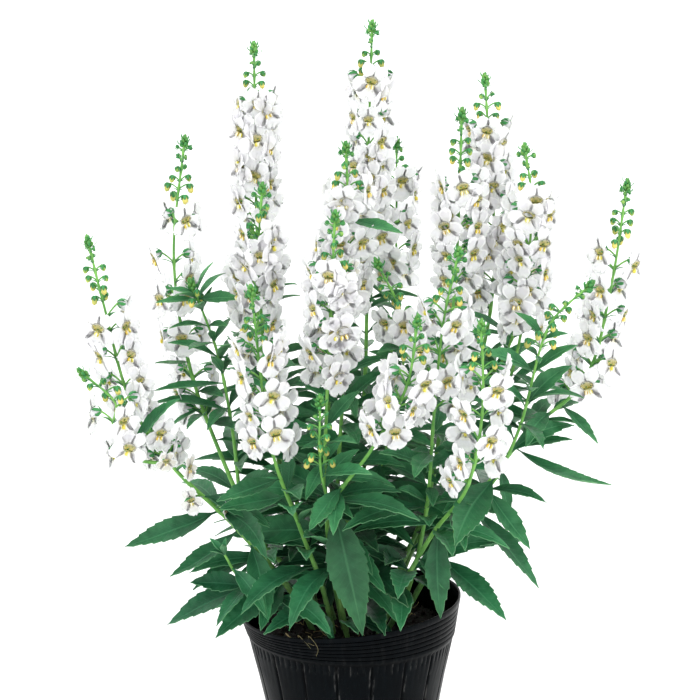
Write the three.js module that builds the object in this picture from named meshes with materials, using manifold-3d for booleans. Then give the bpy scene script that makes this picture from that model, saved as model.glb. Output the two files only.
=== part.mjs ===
// White summer snapdragon (angelonia) in a soft plastic nursery pot.
// Millimetres, +Z up, origin at the centre of the pot's foot, front of the plant towards -Y.
// Azimuths are degrees from -Y towards +X.
import * as THREE from 'three';
import Module from 'manifold-3d';

const wasm = await Module();
wasm.setup();

// Pot
const POT_HEIGHT = 92;
const POT_FOOT_RADIUS = 36;
const POT_RIM_RADIUS = 52.5;
const POT_WALL = 1.2;
const POT_FLOOR = 1.6;
const FLUTES = 18;
const FLUTE_DEPTH = 0.8;
const FLUTE_BOTTOM = 8;
const FLUTE_TOP = 74;
const RIDGES = 4;
const RIDGE_DEPTH = 0.7;
const RIDGE_BAND_BOTTOM = 77;
const RIDGE_BAND_TOP = 89;
const RIM_WAVE = 0.5;
// The soft rim stands this much higher on the right and lower on the left than at the front
const RIM_TILT = 5;
const DRAIN_HOLES = 6;
const DRAIN_RADIUS = 4;
const DRAIN_CIRCLE = 24;
const DRAIN_SIDES = 8;

// Soil
const SOIL_TOP = 80;
const SOIL_LUMP = 1.6;
const SOIL_SIDES = 24;
const SOIL_EDGE = 3;
const SOIL_RINGS = [0.7, 0.38];
const CLEARANCE = 0.35;

// Stems: four-sided, with a short band at each node whose four faces carry leaves, flowers or buds
const STEM_SIDES = 4;
const BAND_HEIGHT = 1.4;
const BAND_SPACING = 3;
const LEAF_SPACING = 9;
const LONGEST_RUN = 30;
const LEAF_START = 84;
const HOLE_RUNS = 2;
const STEM_TAPER = 0.8;
const STEM_MARGIN = 0.6;
// How far a piece may lean from its face's outward direction, and along its stem, as cosines
const LEAST_FACING = 0.5;
const STEEPEST = 0.8;

// Leaves: how long and how far from level they grow, at the rim and at the top of the leafy part
const LEAF_LOW = { height: 88, length: 58, pitch: -14 };
const LEAF_HIGH = { height: 245, length: 24, pitch: 26 };
const LEAF_SLENDERNESS = 0.215;
const LEAF_ARCH = 0.11;
const LEAF_KEEL = 1.2;
const SMALL_LEAF = 42;
const FIRST_LEAF = 0.7;
// How much small leaves differ: in length, as a share, and in pitch and azimuth, in degrees
const LEAF_SWING = { length: 0.3, pitch: 24, turn: 30 };
// Half width along a leaf, as shares of its length and of its widest half width; 0 is the petiole
const SMALL_OUTLINE = [[0.14, 0], [0.48, 1]];
const LEAF_OUTLINE = [[0.12, 0], [0.42, 1], [0.72, 0.76]];
const TOOTHED_OUTLINE = [[0.12, 0], [0.42, 1], [0.6, 0.95], [0.64, 0.8], [0.78, 0.68], [0.82, 0.5]];

// Flowers: the outline of the face, [right, up, forward], from the upper lip round to the left
const FLOWER_OUTLINE = [
  [-5.2, 8.6, 0.4], [5.2, 8.6, 0.4], [5.4, 2.6, -0.6],
  [9.1, 1.8, 1.2], [8.2, -4.4, 1.2], [4.2, -4.2, -0.6],
  [4.4, -9.6, 1.6], [-4.4, -9.6, 1.6], [-4.2, -4.2, -0.6],
  [-8.2, -4.4, 1.2], [-9.1, 1.8, 1.2], [-5.4, 2.6, -0.6],
];
const THROAT = [0, 0.6, -2.2];
const POUCH_RADIUS = 2.2;
const FACE_AHEAD = 3.6;
const FACE_DROP = 1.5;
const PEDICEL_LENGTH = 9;
const PEDICEL_RISE = 32;
const FLOWER_NOD = 12;
const FLOWER_SWING = 16;

// Buds, from the top of the spike down to the first flower
const BUD_START = 5.5;
const BUD_PAIR_GAP = 9.6;
const BUD_LENGTH = [4.8, 9];
const BUD_RADIUS = [1.1, 2.5];
const BUD_WIDEST = 0.68;
const BUD_RISE = 0.45;
const BUD_SWING = 16;
const TIP_BUD_RADIUS = 1.1;

// Spheres that stand for a piece while the next ones are fitted round it
const SAMPLE_STEP = 2.5;
const SAMPLE_RADIUS = 1.75;
// Rings of spheres on a flower: radius, distance ahead of the face and how many
const FLOWER_SAMPLES = [[0, 0, 1], [3, 0, 6], [6, 0, 11], [8.7, 0.8, 17], [4.8, -2.4, 8]];
const FACE_STRETCH = 1.05;
const PEDICEL_SHARES = [0.35, 0.7, 1];
const PEDICEL_MARGIN = 0.5;
const BUD_SHARES = [0.5, 0.8];
const ROOT_ZONE = 5.5;
const KIN_DISTANCE = 3;
const CELL = 6;
// Free space round the pot's rim
const RIM_GAP = { inside: 5.5, outside: 0.8, above: 0.5 };
// Where each kind of piece starts its streams of random numbers
const SEED = { soil: 7, leaf: 50000, bud: 90000 };

// Each stem is a list of shoots: the first stands in the soil, the others branch off an earlier one.
// path: points that the shoot passes; thick: its radius at the foot and the tip; buds: length of the
// bud zone below the tip; flowers: how many and the length of stem that they take; leafy: the share of
// the shoot where leaf pairs end and the space between pairs; turn: azimuth of the first leaf pair.
const STEMS = {
  stem_far_left: [
    { path: [[-15, -7, 66], [-30, -13, 100], [-58, -17, 136], [-88, -24, 169], [-108, -17, 200],
             [-120, -11, 245], [-127, -10, 276]], thick: [1.9, 0.7], buds: 38, flowers: [12, 82],
      leafy: [0.48, 36], turn: 30 },
    { path: [[-88, -24, 169], [-106, -29, 174], [-114, -35, 190], [-113, -36, 203], [-129, -34, 217]],
      thick: [1.1, 0.6], buds: 24, flowers: [4, 30], leafy: [0, 29], turn: 0 },
    { path: [[-27, -12, 96], [-44, -25, 104], [-56, -33, 116], [-62, -37, 128]], thick: [1.2, 0.8], buds: 0,
      flowers: [0, 0], leafy: [1, 22], turn: 60 },
  ],
  stem_left: [
    { path: [[-13, 2, 66], [-24, 0, 100], [-46, -1, 124], [-66, 9, 165], [-82, 19, 210],
             [-89, 27, 262], [-83, 30, 319]], thick: [1.8, 0.7], buds: 32, flowers: [11, 116],
      leafy: [0.55, 35], turn: 75 },
    { path: [[-57, 4, 143], [-60, 7, 178], [-67, 8, 217], [-79, 3, 253]], thick: [1.2, 0.7], buds: 12,
      flowers: [0, 0], leafy: [0.95, 26], turn: 20 },
  ],
  stem_back_left: [
    { path: [[-9, 14, 66], [-18, 27, 100], [-30, 39, 135], [-44, 53, 195], [-49, 60, 262],
             [-50, 62, 362]], thick: [1.8, 0.7], buds: 30, flowers: [13, 64], leafy: [0.62, 38],
      turn: 20 },
    { path: [[-38, 47, 168], [-46, 42, 205], [-51, 33, 240], [-51, 28, 276]], thick: [1.1, 0.6],
      buds: 22, flowers: [5, 30], leafy: [0.4, 29], turn: 50 },
  ],
  stem_mid_left: [
    { path: [[-6, 6, 66], [-18, 12, 105], [-35, 20, 148], [-44, 12, 200], [-47, 1, 250], [-44, 0, 300]],
      thick: [1.7, 0.7], buds: 24, flowers: [9, 50], leafy: [0.62, 35], turn: 80 },
  ],
  stem_front_left: [
    { path: [[-7, -12, 66], [-16, -22, 108], [-27, -31, 142], [-40, -38, 185], [-48, -40, 258]],
      thick: [1.7, 0.6], buds: 30, flowers: [11, 54], leafy: [0.5, 32], turn: 40 },
  ],
  stem_back: [
    { path: [[0, 12, 66], [-1, 25, 102], [2, 38, 145], [6, 48, 205], [7, 54, 300], [9, 54, 373]],
      thick: [1.9, 0.7], buds: 30, flowers: [14, 84], leafy: [0.6, 36], turn: 45 },
    { path: [[2, 36, 140], [12, 58, 168], [21, 76, 215], [22, 84, 270], [22, 86, 311]],
      thick: [1.3, 0.6], buds: 22, flowers: [8, 56], leafy: [0.55, 35], turn: 20 },
  ],
  stem_middle: [
    { path: [[1, 1, 66], [-5, 3, 110], [-8, 5, 150], [-5, 10, 205], [-3, 14, 280], [-4, 14, 318]],
      thick: [1.8, 0.7], buds: 24, flowers: [11, 60], leafy: [0.6, 35], turn: 45 },
    { path: [[-6, 4, 128], [10, 7, 152], [22, 11, 195], [24, 12, 232], [11, 8, 262]],
      thick: [1.2, 0.6], buds: 36, flowers: [2, 12], leafy: [0.7, 28], turn: 5 },
  ],
  stem_front: [
    { path: [[-2, -7, 66], [-10, -16, 110], [-14, -23, 160], [-12, -28, 225], [-9, -28, 291]],
      thick: [1.7, 0.7], buds: 30, flowers: [10, 54], leafy: [0.55, 32], turn: 85 },
  ],
  stem_front_bent: [
    { path: [[-1, -16, 66], [-9, -26, 115], [-12, -32, 148], [8, -45, 182], [24, -57, 215],
             [29, -60, 248]], thick: [1.8, 0.7], buds: 28, flowers: [9, 44], leafy: [0.5, 32],
      turn: 15 },
    { path: [[-12, -32, 149], [-16, -44, 174], [-16, -50, 208]], thick: [0.9, 0.6], buds: 40,
      flowers: [0, 0], leafy: [0, 29], turn: 0 },
  ],
  stem_right: [
    { path: [[9, 3, 66], [22, 5, 105], [36, 7, 140], [44, 11, 190], [50, 15, 260], [52, 16, 334]],
      thick: [1.8, 0.7], buds: 38, flowers: [8, 52], leafy: [0.6, 35], turn: 35 },
  ],
  stem_front_right: [
    { path: [[9, -6, 66], [26, -11, 100], [35, -20, 145], [38, -28, 195], [42, -30, 240],
             [49, -30, 274]], thick: [1.7, 0.6], buds: 30, flowers: [8, 54], leafy: [0.55, 32],
      turn: 70 },
  ],
  stem_back_right: [
    { path: [[12, 9, 66], [26, 18, 105], [43, 28, 140], [60, 44, 188], [71, 53, 250], [65, 52, 347]],
      thick: [2.0, 0.7], buds: 28, flowers: [13, 96], leafy: [0.55, 38], turn: 0 },
    { path: [[33, 22, 120], [52, 13, 148], [68, 11, 180], [81, 13, 220], [86, 11, 285], [82, 8, 318]],
      thick: [1.4, 0.6], buds: 28, flowers: [10, 72], leafy: [0.5, 32], turn: 55 },
    { path: [[60, 44, 188], [75, 37, 207], [85, 31, 240]], thick: [1.0, 0.7], buds: 0,
      flowers: [0, 0], leafy: [1, 22], turn: 20 },
  ],
  stem_far_right: [
    { path: [[16, -1, 66], [35, -4, 105], [55, -6, 138], [83, -4, 178], [113, 3, 205], [125, 8, 250],
             [132, 12, 300]], thick: [1.9, 0.7], buds: 36, flowers: [11, 72], leafy: [0.58, 36],
      turn: 25 },
    { path: [[53, -6, 135], [69, -21, 163], [80, -24, 190], [92, -21, 235], [113, -12, 255]],
      thick: [1.3, 0.6], buds: 44, flowers: [0, 0], leafy: [0.75, 28], turn: 48 },
  ],
  stem_low_right: [
    { path: [[6, -14, 66], [22, -24, 105], [38, -31, 137], [53, -52, 166], [59, -62, 205],
             [58, -62, 246]], thick: [1.8, 0.7], buds: 26, flowers: [10, 60], leafy: [0.5, 32],
      turn: 50 },
  ],
  stem_rear_middle: [
    { path: [[-3, 18, 66], [-9, 38, 110], [-13, 62, 160], [-11, 84, 225], [-8, 91, 280]],
      thick: [1.6, 0.6], buds: 26, flowers: [8, 54], leafy: [0.6, 35], turn: 30 },
  ],
  stem_rear_right: [
    { path: [[7, 17, 66], [22, 40, 110], [43, 66, 160], [57, 83, 220], [59, 87, 270]],
      thick: [1.6, 0.6], buds: 26, flowers: [8, 54], leafy: [0.6, 35], turn: 75 },
  ],
  stem_rear_left: [
    { path: [[-15, 18, 66], [-27, 42, 110], [-42, 72, 165], [-50, 90, 215], [-52, 96, 258]],
      thick: [1.6, 0.6], buds: 26, flowers: [8, 54], leafy: [0.6, 35], turn: 5 },
  ],
};

// The large leaves that make the plant's outline: where each starts, its tip and its full width.
// Each grows from the nearest place on its stem.
const LARGE_LEAVES = {
  stem_far_left: [
    [[-66, -19, 144], [-109, -32, 133], 13], [[-57, -17, 134], [-88, -40, 120], 12],
    [[-51, -28, 112], [-78, -38, 114], 12], [[-50, -28, 110], [-89, -34, 93], 14],
    [[-51, -16, 127], [-57, -46, 98], 13], [[-34, -14, 105], [-66, -48, 87], 13],
  ],
  stem_left: [
    [[-76, 4, 244], [-55, -2, 247], 7], [[-76, 4, 244], [-96, 2, 244], 6],
    [[-69, 7, 222], [-79, -18, 226], 7], [[-64, 8, 201], [-98, -2, 201], 8],
    [[-82, 19, 210], [-97, 0, 214], 7],
  ],
  stem_front_left: [
    [[-30, -34, 157], [-64, -48, 154], 11], [[-34, -35, 166], [-64, -60, 162], 10],
    [[-13, -19, 97], [-45, -56, 84], 14],
  ],
  stem_back_left: [[[-44, 53, 195], [-70, 30, 190], 9]],
  stem_front: [[[-12, -20, 135], [-57, -44, 122], 16]],
  stem_front_bent: [[[-9, -34, 152], [5, -62, 94], 22], [[-5, -37, 160], [-21, -68, 150], 9]],
  stem_middle: [
    [[11, 7, 152], [43, -32, 138], 15], [[5, 6, 141], [30, -22, 138], 12],
    [[13, 8, 161], [3, -30, 148], 13], [[-4, 4, 118], [34, -48, 108], 14],
    [[-3, 14, 282], [23, -4, 279], 8],
  ],
  stem_right: [[[26, 5, 116], [31, -46, 120], 10]],
  stem_front_right: [[[37, -26, 185], [57, -8, 184], 7]],
  stem_low_right: [[[40, -33, 141], [42, -56, 100], 13]],
  stem_far_right: [
    [[42, -5, 117], [73, -42, 98], 13], [[58, -6, 142], [88, -28, 109], 13],
    [[64, -18, 155], [86, -34, 130], 11], [[68, -21, 162], [48, -46, 136], 14],
    [[79, -4, 172], [114, -40, 163], 12], [[101, 0, 194], [117, -22, 180], 8],
    [[80, -4, 174], [99, -24, 181], 8], [[72, -5, 162], [76, -12, 140], 8],
  ],
};

// One stream of random numbers per piece, so that a change in one leaves the others alone
function stream(seed) {
  let state = seed + 1000;
  const next = () => {
    state = (state * 16807) % 2147483647;
    return state / 2147483647;
  };
  for (let i = 0; i < 4; i++) next();
  return next;
}

const vec = (p) => new THREE.Vector3(...p);
const rad = THREE.MathUtils.degToRad;
const { lerp: mix, clamp } = THREE.MathUtils;
const UP = vec([0, 0, 1]);

function heading(azimuth) {
  return vec([Math.sin(rad(azimuth)), -Math.cos(rad(azimuth)), 0]);
}

// A place given by its distances along three directions from a centre
function offset(centre, ...steps) {
  const place = centre.clone();
  for (const [direction, distance] of steps) place.addScaledVector(direction, distance);
  return place;
}

// A closed skin, made ring by ring. Rings run anticlockwise round the way that the piece grows.
class Skin {
  points = [];
  faces = [];

  ring(places) {
    const first = this.points.length;
    this.points.push(...places);
    return places.map((_, i) => first + i);
  }

  // Rings of equal counts are joined by squares, each split so that it bulges outward
  join(a, b, taken = new Set()) {
    a.forEach((p, i) => {
      const j = (i + 1) % a.length;
      const [q, r, s] = [a[j], b[i], b[j]];
      const [u, v, w] = [q, r, s].map((k) => this.points[k].clone().sub(this.points[p]));
      if (taken.has(i)) this.faces.push(p, q, r);
      else if (u.cross(v).dot(w) <= 0) this.faces.push(p, q, r, q, s, r);
      else this.faces.push(p, q, s, p, s, r);
    });
  }

  // Otherwise one ring's count is a multiple of the other's
  bridge(a, b) {
    if (a.length === b.length) {
      this.join(a, b);
      return;
    }
    const narrowing = a.length >= b.length;
    const [wide, slim] = narrowing ? [a, b] : [b, a];
    const share = wide.length / slim.length;
    const add = (p, q, r) => this.faces.push(...(narrowing ? [p, q, r] : [q, p, r]));
    wide.forEach((p, i) => add(p, wide[(i + 1) % wide.length], slim[Math.floor(i / share)]));
    if (slim.length === 1) return;
    slim.forEach((p, k) => {
      add(wide[((k + 1) * share) % wide.length], slim[(k + 1) % slim.length], p);
    });
  }

  cap(ring, atEnd) {
    for (let i = 1; i < ring.length - 1; i++) {
      const [p, q] = atEnd ? [ring[i], ring[i + 1]] : [ring[i + 1], ring[i]];
      this.faces.push(ring[0], p, q);
    }
  }

  solid() {
    return new wasm.Manifold(new wasm.Mesh({
      numProp: 3,
      vertProperties: new Float32Array(this.points.flatMap((p) => p.toArray())),
      triVerts: new Uint32Array(this.faces),
    }));
  }
}

function closedSkin(rings) {
  const skin = new Skin();
  const rows = rings.map((places) => skin.ring(places));
  skin.cap(rows[0], false);
  rows.slice(1).forEach((row, i) => skin.bridge(rows[i], row));
  skin.cap(rows.at(-1), true);
  return skin;
}

function geometryOf(body) {
  const mesh = body.getMesh();
  const geometry = new THREE.BufferGeometry();
  geometry.setAttribute('position', new THREE.BufferAttribute(mesh.vertProperties.slice(), 3));
  geometry.setIndex(new THREE.BufferAttribute(mesh.triVerts.slice(), 1));
  geometry.computeVertexNormals();
  return geometry;
}

// Stems

function stemLine(shoot) {
  const curve = new THREE.CatmullRomCurve3(shoot.path.map(vec), false, 'catmullrom', 0.5);
  return { ...shoot, curve, length: curve.getLength(), bands: [] };
}

// Place, direction and radius at a distance from the foot of the shoot
function along(line, at) {
  const share = clamp(at / line.length, 0, 1);
  return {
    place: line.curve.getPointAt(share),
    tangent: line.curve.getTangentAt(share),
    radius: mix(...line.thick, share ** STEM_TAPER),
  };
}

function nearestOn(lines, point) {
  let best = { gap: Infinity };
  for (const line of lines) {
    for (let at = 0; at <= line.length; at += 1) {
      const gap = along(line, at).place.distanceTo(point);
      if (gap < best.gap) best = { gap, line, at };
    }
  }
  return best;
}

// The corners of a stem's section lie between its front, back and sides
function section({ place, tangent, radius }, extra = 0) {
  const side = tangent.clone().cross(vec([0, 1, 0])).normalize();
  const front = tangent.clone().cross(side);
  return Array.from({ length: STEM_SIDES }, (_, i) => {
    const angle = 2 * Math.PI * (i + 0.5) / STEM_SIDES;
    const reach = radius + extra;
    return offset(place, [side, reach * Math.cos(angle)], [front, reach * Math.sin(angle)]);
  });
}

function bandAt(line, at, spacing = BAND_SPACING) {
  const near = line.bands.find((band) => Math.abs(band.at - at) < spacing);
  if (near) return near;
  const band = { at, line, taken: new Set(), ...along(line, at) };
  line.bands.push(band);
  return band;
}

// Distances along the shoot of the stem's rings: two at each band, and more in long runs between them
function ringPlan(line) {
  const plan = [{ at: 0 }];
  for (const band of line.bands) {
    const from = plan.at(-1).at;
    const to = band.at - BAND_HEIGHT / 2;
    const runs = Math.ceil((to - from) / LONGEST_RUN);
    for (let i = 1; i < runs; i++) plan.push({ at: mix(from, to, i / runs) });
    plan.push({ at: to, band }, { at: to + BAND_HEIGHT });
  }
  return plan;
}

function layRings(line) {
  line.bands.sort((a, b) => a.at - b.at);
  line.skin = new Skin();
  line.rings = ringPlan(line).map(({ at, band }) => {
    const ring = line.skin.ring(section(along(line, at)));
    if (band) band.lower = ring;
    return { ring, band };
  });
  line.rings.forEach(({ band }, i) => {
    if (band) band.upper = line.rings[i + 1].ring;
  });
}

// The stem's own skin goes on last, without the faces that leaves, flowers and buds have taken
function closeStem({ skin, rings, curve }) {
  skin.cap(rings[0].ring, false);
  rings.slice(1).forEach(({ ring }, i) => skin.join(rings[i].ring, ring, rings[i].band?.taken));
  const end = { place: curve.getPointAt(1), tangent: curve.getTangentAt(1), radius: TIP_BUD_RADIUS };
  const head = skin.ring(section(end));
  skin.bridge(rings.at(-1).ring, head);
  skin.bridge(head, skin.ring([offset(end.place, [end.tangent, 2 * TIP_BUD_RADIUS])]));
}

// Three directions round a piece that grows ahead, matching the corners of a band's face
function spokes({ side, up }) {
  return [60, 180, 300].map((angle) =>
    up.clone().multiplyScalar(Math.cos(rad(angle))).addScaledVector(side, Math.sin(rad(angle))));
}

// The arms from the middle of a face to its corners, in the order that twists a piece least
function leastTwisted(corners, arms, frame) {
  const turns = [0, 1, 2].map((turn) => [0, 1, 2].map((i) => (i + turn) % 3));
  const aims = spokes(frame);
  const fit = (turn) => turn.reduce((sum, from, i) => sum + arms[from].dot(aims[i]), 0);
  const best = turns.reduce((a, b) => (fit(b) > fit(a) ? b : a));
  return { corners: best.map((i) => corners[i]), arms: best.map((i) => arms[i]) };
}

// The free face of a band that looks nearest to a direction, or none if they all look away from it
function freeFace(band, direction, frame = frameOf(direction)) {
  let best = { facing: LEAST_FACING };
  if (Math.abs(direction.dot(band.tangent)) > STEEPEST) return null;
  for (let k = 0; k < STEM_SIDES; k++) {
    const next = (k + 1) % STEM_SIDES;
    const corners = [band.upper[k], band.lower[next], band.upper[next]];
    const places = corners.map((i) => band.line.skin.points[i]);
    const middle = places.reduce((sum, p) => sum.add(p), vec([0, 0, 0])).divideScalar(3);
    const outward = middle.clone().sub(band.place);
    outward.addScaledVector(band.tangent, -outward.dot(band.tangent)).normalize();
    const facing = outward.dot(direction);
    if (band.taken.has(k) || facing <= best.facing) continue;
    const arms = places.map((p) => p.clone().sub(middle));
    best = { facing, k, ...leastTwisted(corners, arms, frame) };
  }
  return best.corners ? best : null;
}

// Grows a piece out of a face of the band: ring by ring, the last of them a single point
function attach({ band, face }, rings) {
  const { skin } = band.line;
  band.taken.add(face.k);
  rings.map((places) => skin.ring(places)).reduce((before, ring) => {
    skin.bridge(before, ring);
    return ring;
  }, face.corners);
}

// Leaves

// The frame of a piece that grows ahead: its side and its upper face
function frameOf(ahead) {
  const side = ahead.clone().cross(UP).normalize();
  return { side, up: side.clone().cross(ahead) };
}

function leafPoint(leaf, share) {
  return offset(leaf.root.clone().lerp(leaf.tip, share), [leaf.up, leaf.arch * 4 * share * (1 - share)]);
}

// A ring of the stem face's own shape, as seen from where the leaf grows
function petioleRing({ face, ahead }, centre) {
  return face.arms.map((arm) => offset(centre, [arm, 1], [ahead, -arm.dot(ahead)]));
}

function leafRings(leaf) {
  const plain = leaf.root.distanceTo(leaf.tip) < SMALL_LEAF ? SMALL_OUTLINE : LEAF_OUTLINE;
  const rings = (leaf.toothed ? TOOTHED_OUTLINE : plain).map(([share, part]) => {
    const centre = leafPoint(leaf, share);
    if (part === 0) return petioleRing(leaf, centre);
    const half = leaf.width / 2 * part;
    return [offset(centre, [leaf.side, half]), offset(centre, [leaf.up, -LEAF_KEEL]),
      offset(centre, [leaf.side, -half])];
  });
  return [...rings, [leafPoint(leaf, 1)]];
}

function leafSamples(leaf) {
  const outline = [[0, 0.1], ...LEAF_OUTLINE, [1, 0]];
  const samples = [];
  const rows = Math.ceil(leaf.root.distanceTo(leaf.tip) / SAMPLE_STEP);
  for (let i = 1; i <= rows; i++) {
    const share = i / rows;
    const k = outline.findIndex(([at]) => at >= share);
    const [[from, before], [to, after]] = [outline[k - 1], outline[k]];
    const half = leaf.width / 2 * mix(before, after, (share - from) / (to - from));
    const columns = Math.ceil(2 * half / SAMPLE_STEP);
    for (let j = 0; j <= columns; j++) {
      const across = columns ? mix(-half, half, j / columns) : 0;
      const place = offset(leafPoint(leaf, share), [leaf.side, across], [leaf.up, -LEAF_KEEL / 3]);
      samples.push({ place, radius: SAMPLE_RADIUS });
    }
  }
  return samples;
}

// The ways in which a leaf may turn, rise or stay smaller to keep clear of what is there already
function* leafTries(leaf) {
  for (const size of [1, 0.86, 0.72]) {
    for (const lift of [0, 0.12, -0.12, 0.26, -0.26, 0.42]) {
      for (const turn of [0, 9, -9, 18, -18, 30, -30, 45, -45]) {
        const reach = leaf.tip.clone().sub(leaf.root).multiplyScalar(size);
        reach.applyAxisAngle(UP, rad(turn));
        reach.z += lift * reach.length();
        const ahead = reach.clone().normalize();
        const face = freeFace(leaf.band, ahead);
        const tip = leaf.root.clone().add(reach);
        const shape = { tip, width: leaf.width * size, arch: leaf.arch * size };
        if (face) yield { ...leaf, ...frameOf(ahead), ...shape, ahead, face };
      }
    }
  }
}

// Flowers and buds

// The frame of a flower: how its pedicel rises, where its pouch and face sit and which way it looks
function flowerAt(band, azimuth, size) {
  const out = heading(azimuth);
  const level = Math.cos(rad(PEDICEL_RISE));
  const rise = offset(out.clone().multiplyScalar(level), [band.tangent, Math.sin(rad(PEDICEL_RISE))]);
  rise.normalize();
  const forward = out.multiplyScalar(Math.cos(rad(FLOWER_NOD))).setZ(-Math.sin(rad(FLOWER_NOD)));
  const { side, up } = frameOf(forward);
  const pouch = offset(band.place, [rise, PEDICEL_LENGTH * size]);
  const face = offset(pouch, [forward, FACE_AHEAD], [up, -FACE_DROP]);
  return { band, root: band.place, rise, forward, side, up, pouch, centre: face, size };
}

function onFlower({ centre, side, up, forward, size }, [across, high, ahead]) {
  return offset(centre, [side, across * size], [up, high * size], [forward, ahead * size]);
}

function triad(place, frame, radius) {
  return spokes(frame).map((spoke) => offset(place, [spoke, radius]));
}

function flowerRings(flower) {
  return [
    triad(flower.pouch, flower, POUCH_RADIUS * flower.size),
    FLOWER_OUTLINE.map((point) => onFlower(flower, point)),
    [onFlower(flower, THROAT)],
  ];
}

function flowerSamples(flower) {
  const samples = [];
  for (const [reach, ahead, count] of FLOWER_SAMPLES) {
    for (let i = 0; i < count; i++) {
      const angle = 2 * Math.PI * i / count;
      const point = [reach * Math.cos(angle), FACE_STRETCH * reach * Math.sin(angle), ahead];
      samples.push({ place: onFlower(flower, point), radius: SAMPLE_RADIUS });
    }
  }
  for (const share of PEDICEL_SHARES) {
    const place = flower.root.clone().lerp(flower.pouch, share);
    samples.push({ place, radius: PEDICEL_MARGIN + POUCH_RADIUS * share });
  }
  return samples;
}

function* flowerTries(band, azimuth) {
  for (const size of [1, 0.9, 0.8]) {
    for (const turn of [0, 12, -12, 24, -24, 38, -38, 55, -55]) {
      const flower = flowerAt(band, azimuth + turn, size);
      const face = freeFace(band, flower.rise, flower);
      if (face) yield { ...flower, face };
    }
  }
}

function budRings({ root, axis, length, radius }) {
  const belt = triad(offset(root, [axis, length * BUD_WIDEST]), frameOf(axis), radius);
  return [belt, [offset(root, [axis, length])]];
}

function budSamples({ root, axis, length, radius }) {
  return BUD_SHARES.map((share) => (
    { place: offset(root, [axis, length * share]), radius: radius * BUD_SHARES[1] }));
}

// What has grown so far, kept in cells so that a new piece is compared with its neighbours only
const crowd = new Map();
const cellOf = (place) => place.toArray().map((value) => Math.floor(value / CELL));

function settle(samples, stem) {
  for (const sample of samples) {
    const key = cellOf(sample.place).join();
    if (!crowd.has(key)) crowd.set(key, []);
    crowd.get(key).push({ ...sample, stem });
  }
}

function potTouches({ place, radius }) {
  const reach = Math.hypot(place.x, place.y);
  const outside = POT_RIM_RADIUS + radius + RIM_GAP.outside;
  const overWall = reach > POT_RIM_RADIUS - RIM_GAP.inside && reach < outside;
  if (overWall) return place.z < POT_HEIGHT + RIM_TILT * place.x / reach + radius + RIM_GAP.above;
  return reach < POT_RIM_RADIUS && place.z < SOIL_TOP + SOIL_LUMP + radius;
}

// False if a sample is too near one of another stem, or away from the root near one of its own
function isClear(samples, root, stem) {
  return samples.every((sample) => {
    const nearRoot = sample.place.distanceTo(root) < ROOT_ZONE;
    const [cx, cy, cz] = cellOf(sample.place);
    const clash = (other) => {
      if (other.stem === stem && nearRoot) return false;
      const limit = other.stem === stem ? KIN_DISTANCE : sample.radius + other.radius + CLEARANCE;
      return other.place.distanceTo(sample.place) < limit;
    };
    for (let x = cx - 1; x <= cx + 1; x++) {
      for (let y = cy - 1; y <= cy + 1; y++) {
        for (let z = cz - 1; z <= cz + 1; z++) {
          if (crowd.get(`${x},${y},${z}`)?.some(clash)) return false;
        }
      }
    }
    return !potTouches(sample);
  });
}

// The first of the tries that is clear grows; where none is, the place stays bare
function grow(stem, tries, samplesOf, ringsOf) {
  for (const piece of tries) {
    const samples = samplesOf(piece);
    if (isClear(samples, piece.root, stem)) {
      settle(samples, stem);
      attach(piece, ringsOf(piece));
      return;
    }
  }
}

// The plant: bare stems first, then large leaves, flowers, buds and small leaves, each kept clear

function bareStem(shoots) {
  const lines = [];
  for (const shoot of shoots) {
    const path = [...shoot.path];
    if (lines.length) {
      const { line, at } = nearestOn(lines, vec(path[0]));
      path[0] = along(line, at).place.toArray();
    }
    lines.push(stemLine({ ...shoot, path }));
  }
  return lines;
}

function leafPairs({ leafy: [end, gap], length }) {
  return Array.from({ length: Math.floor(end * length / gap) }, (_, i) => (i + FIRST_LEAF) * gap);
}

function flowerPairs({ flowers: [count, zone], buds, length }) {
  const pairs = Math.ceil(count / 2);
  return Array.from({ length: pairs }, (_, i) => length - buds - zone * (i + 0.5) / pairs);
}

function budPairs({ buds, length }) {
  const pairs = Math.floor(buds / BUD_PAIR_GAP);
  return Array.from({ length: pairs }, (_, i) => length - BUD_START - i * BUD_PAIR_GAP);
}

const plant = Object.entries(STEMS).map(([stem, shoots], order) => {
  const lines = bareStem(shoots);
  const large = (LARGE_LEAVES[stem] ?? []).map(([from, tip, width]) => {
    const { line, at } = nearestOn(lines, vec(from));
    return { line, at, tip: vec(tip), width };
  });
  for (const leaf of large) leaf.band = bandAt(leaf.line, leaf.at);
  for (const line of lines) {
    line.flowerBands = flowerPairs(line).map((at) => bandAt(line, at));
    line.budBands = budPairs(line).map((at) => bandAt(line, at));
    line.leafBands = leafPairs(line).filter((at) => along(line, at).place.z > LEAF_START)
      .map((at) => bandAt(line, at, LEAF_SPACING));
    layRings(line);
    for (let at = 0; at < line.length; at += SAMPLE_STEP) {
      const { place, radius } = along(line, at);
      settle([{ place, radius: radius + STEM_MARGIN }], stem);
    }
  }
  return { stem, order, lines, large };
});

for (const { stem, large } of plant) {
  for (const { band, tip, width } of large) {
    const arch = LEAF_ARCH * band.place.distanceTo(tip);
    const leaf = { band, root: band.place, tip, width, arch, toothed: true };
    grow(stem, leafTries(leaf), leafSamples, leafRings);
  }
}

for (const { stem, order, lines } of plant) {
  lines.forEach((line, index) => {
    const first = 30 + 30 * stream(order * 10 + index)();
    for (let i = 0; i < line.flowers[0]; i++) {
      const random = stream(order * 1000 + index * 100 + i);
      const pair = Math.floor(i / 2);
      const azimuth = first + 90 * (pair % 2) + 180 * ((i + Math.floor(pair / 2)) % 2);
      const tries = flowerTries(line.flowerBands[pair], azimuth + FLOWER_SWING * (random() - 0.5));
      grow(stem, tries, flowerSamples, flowerRings);
    }
  });
}

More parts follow.
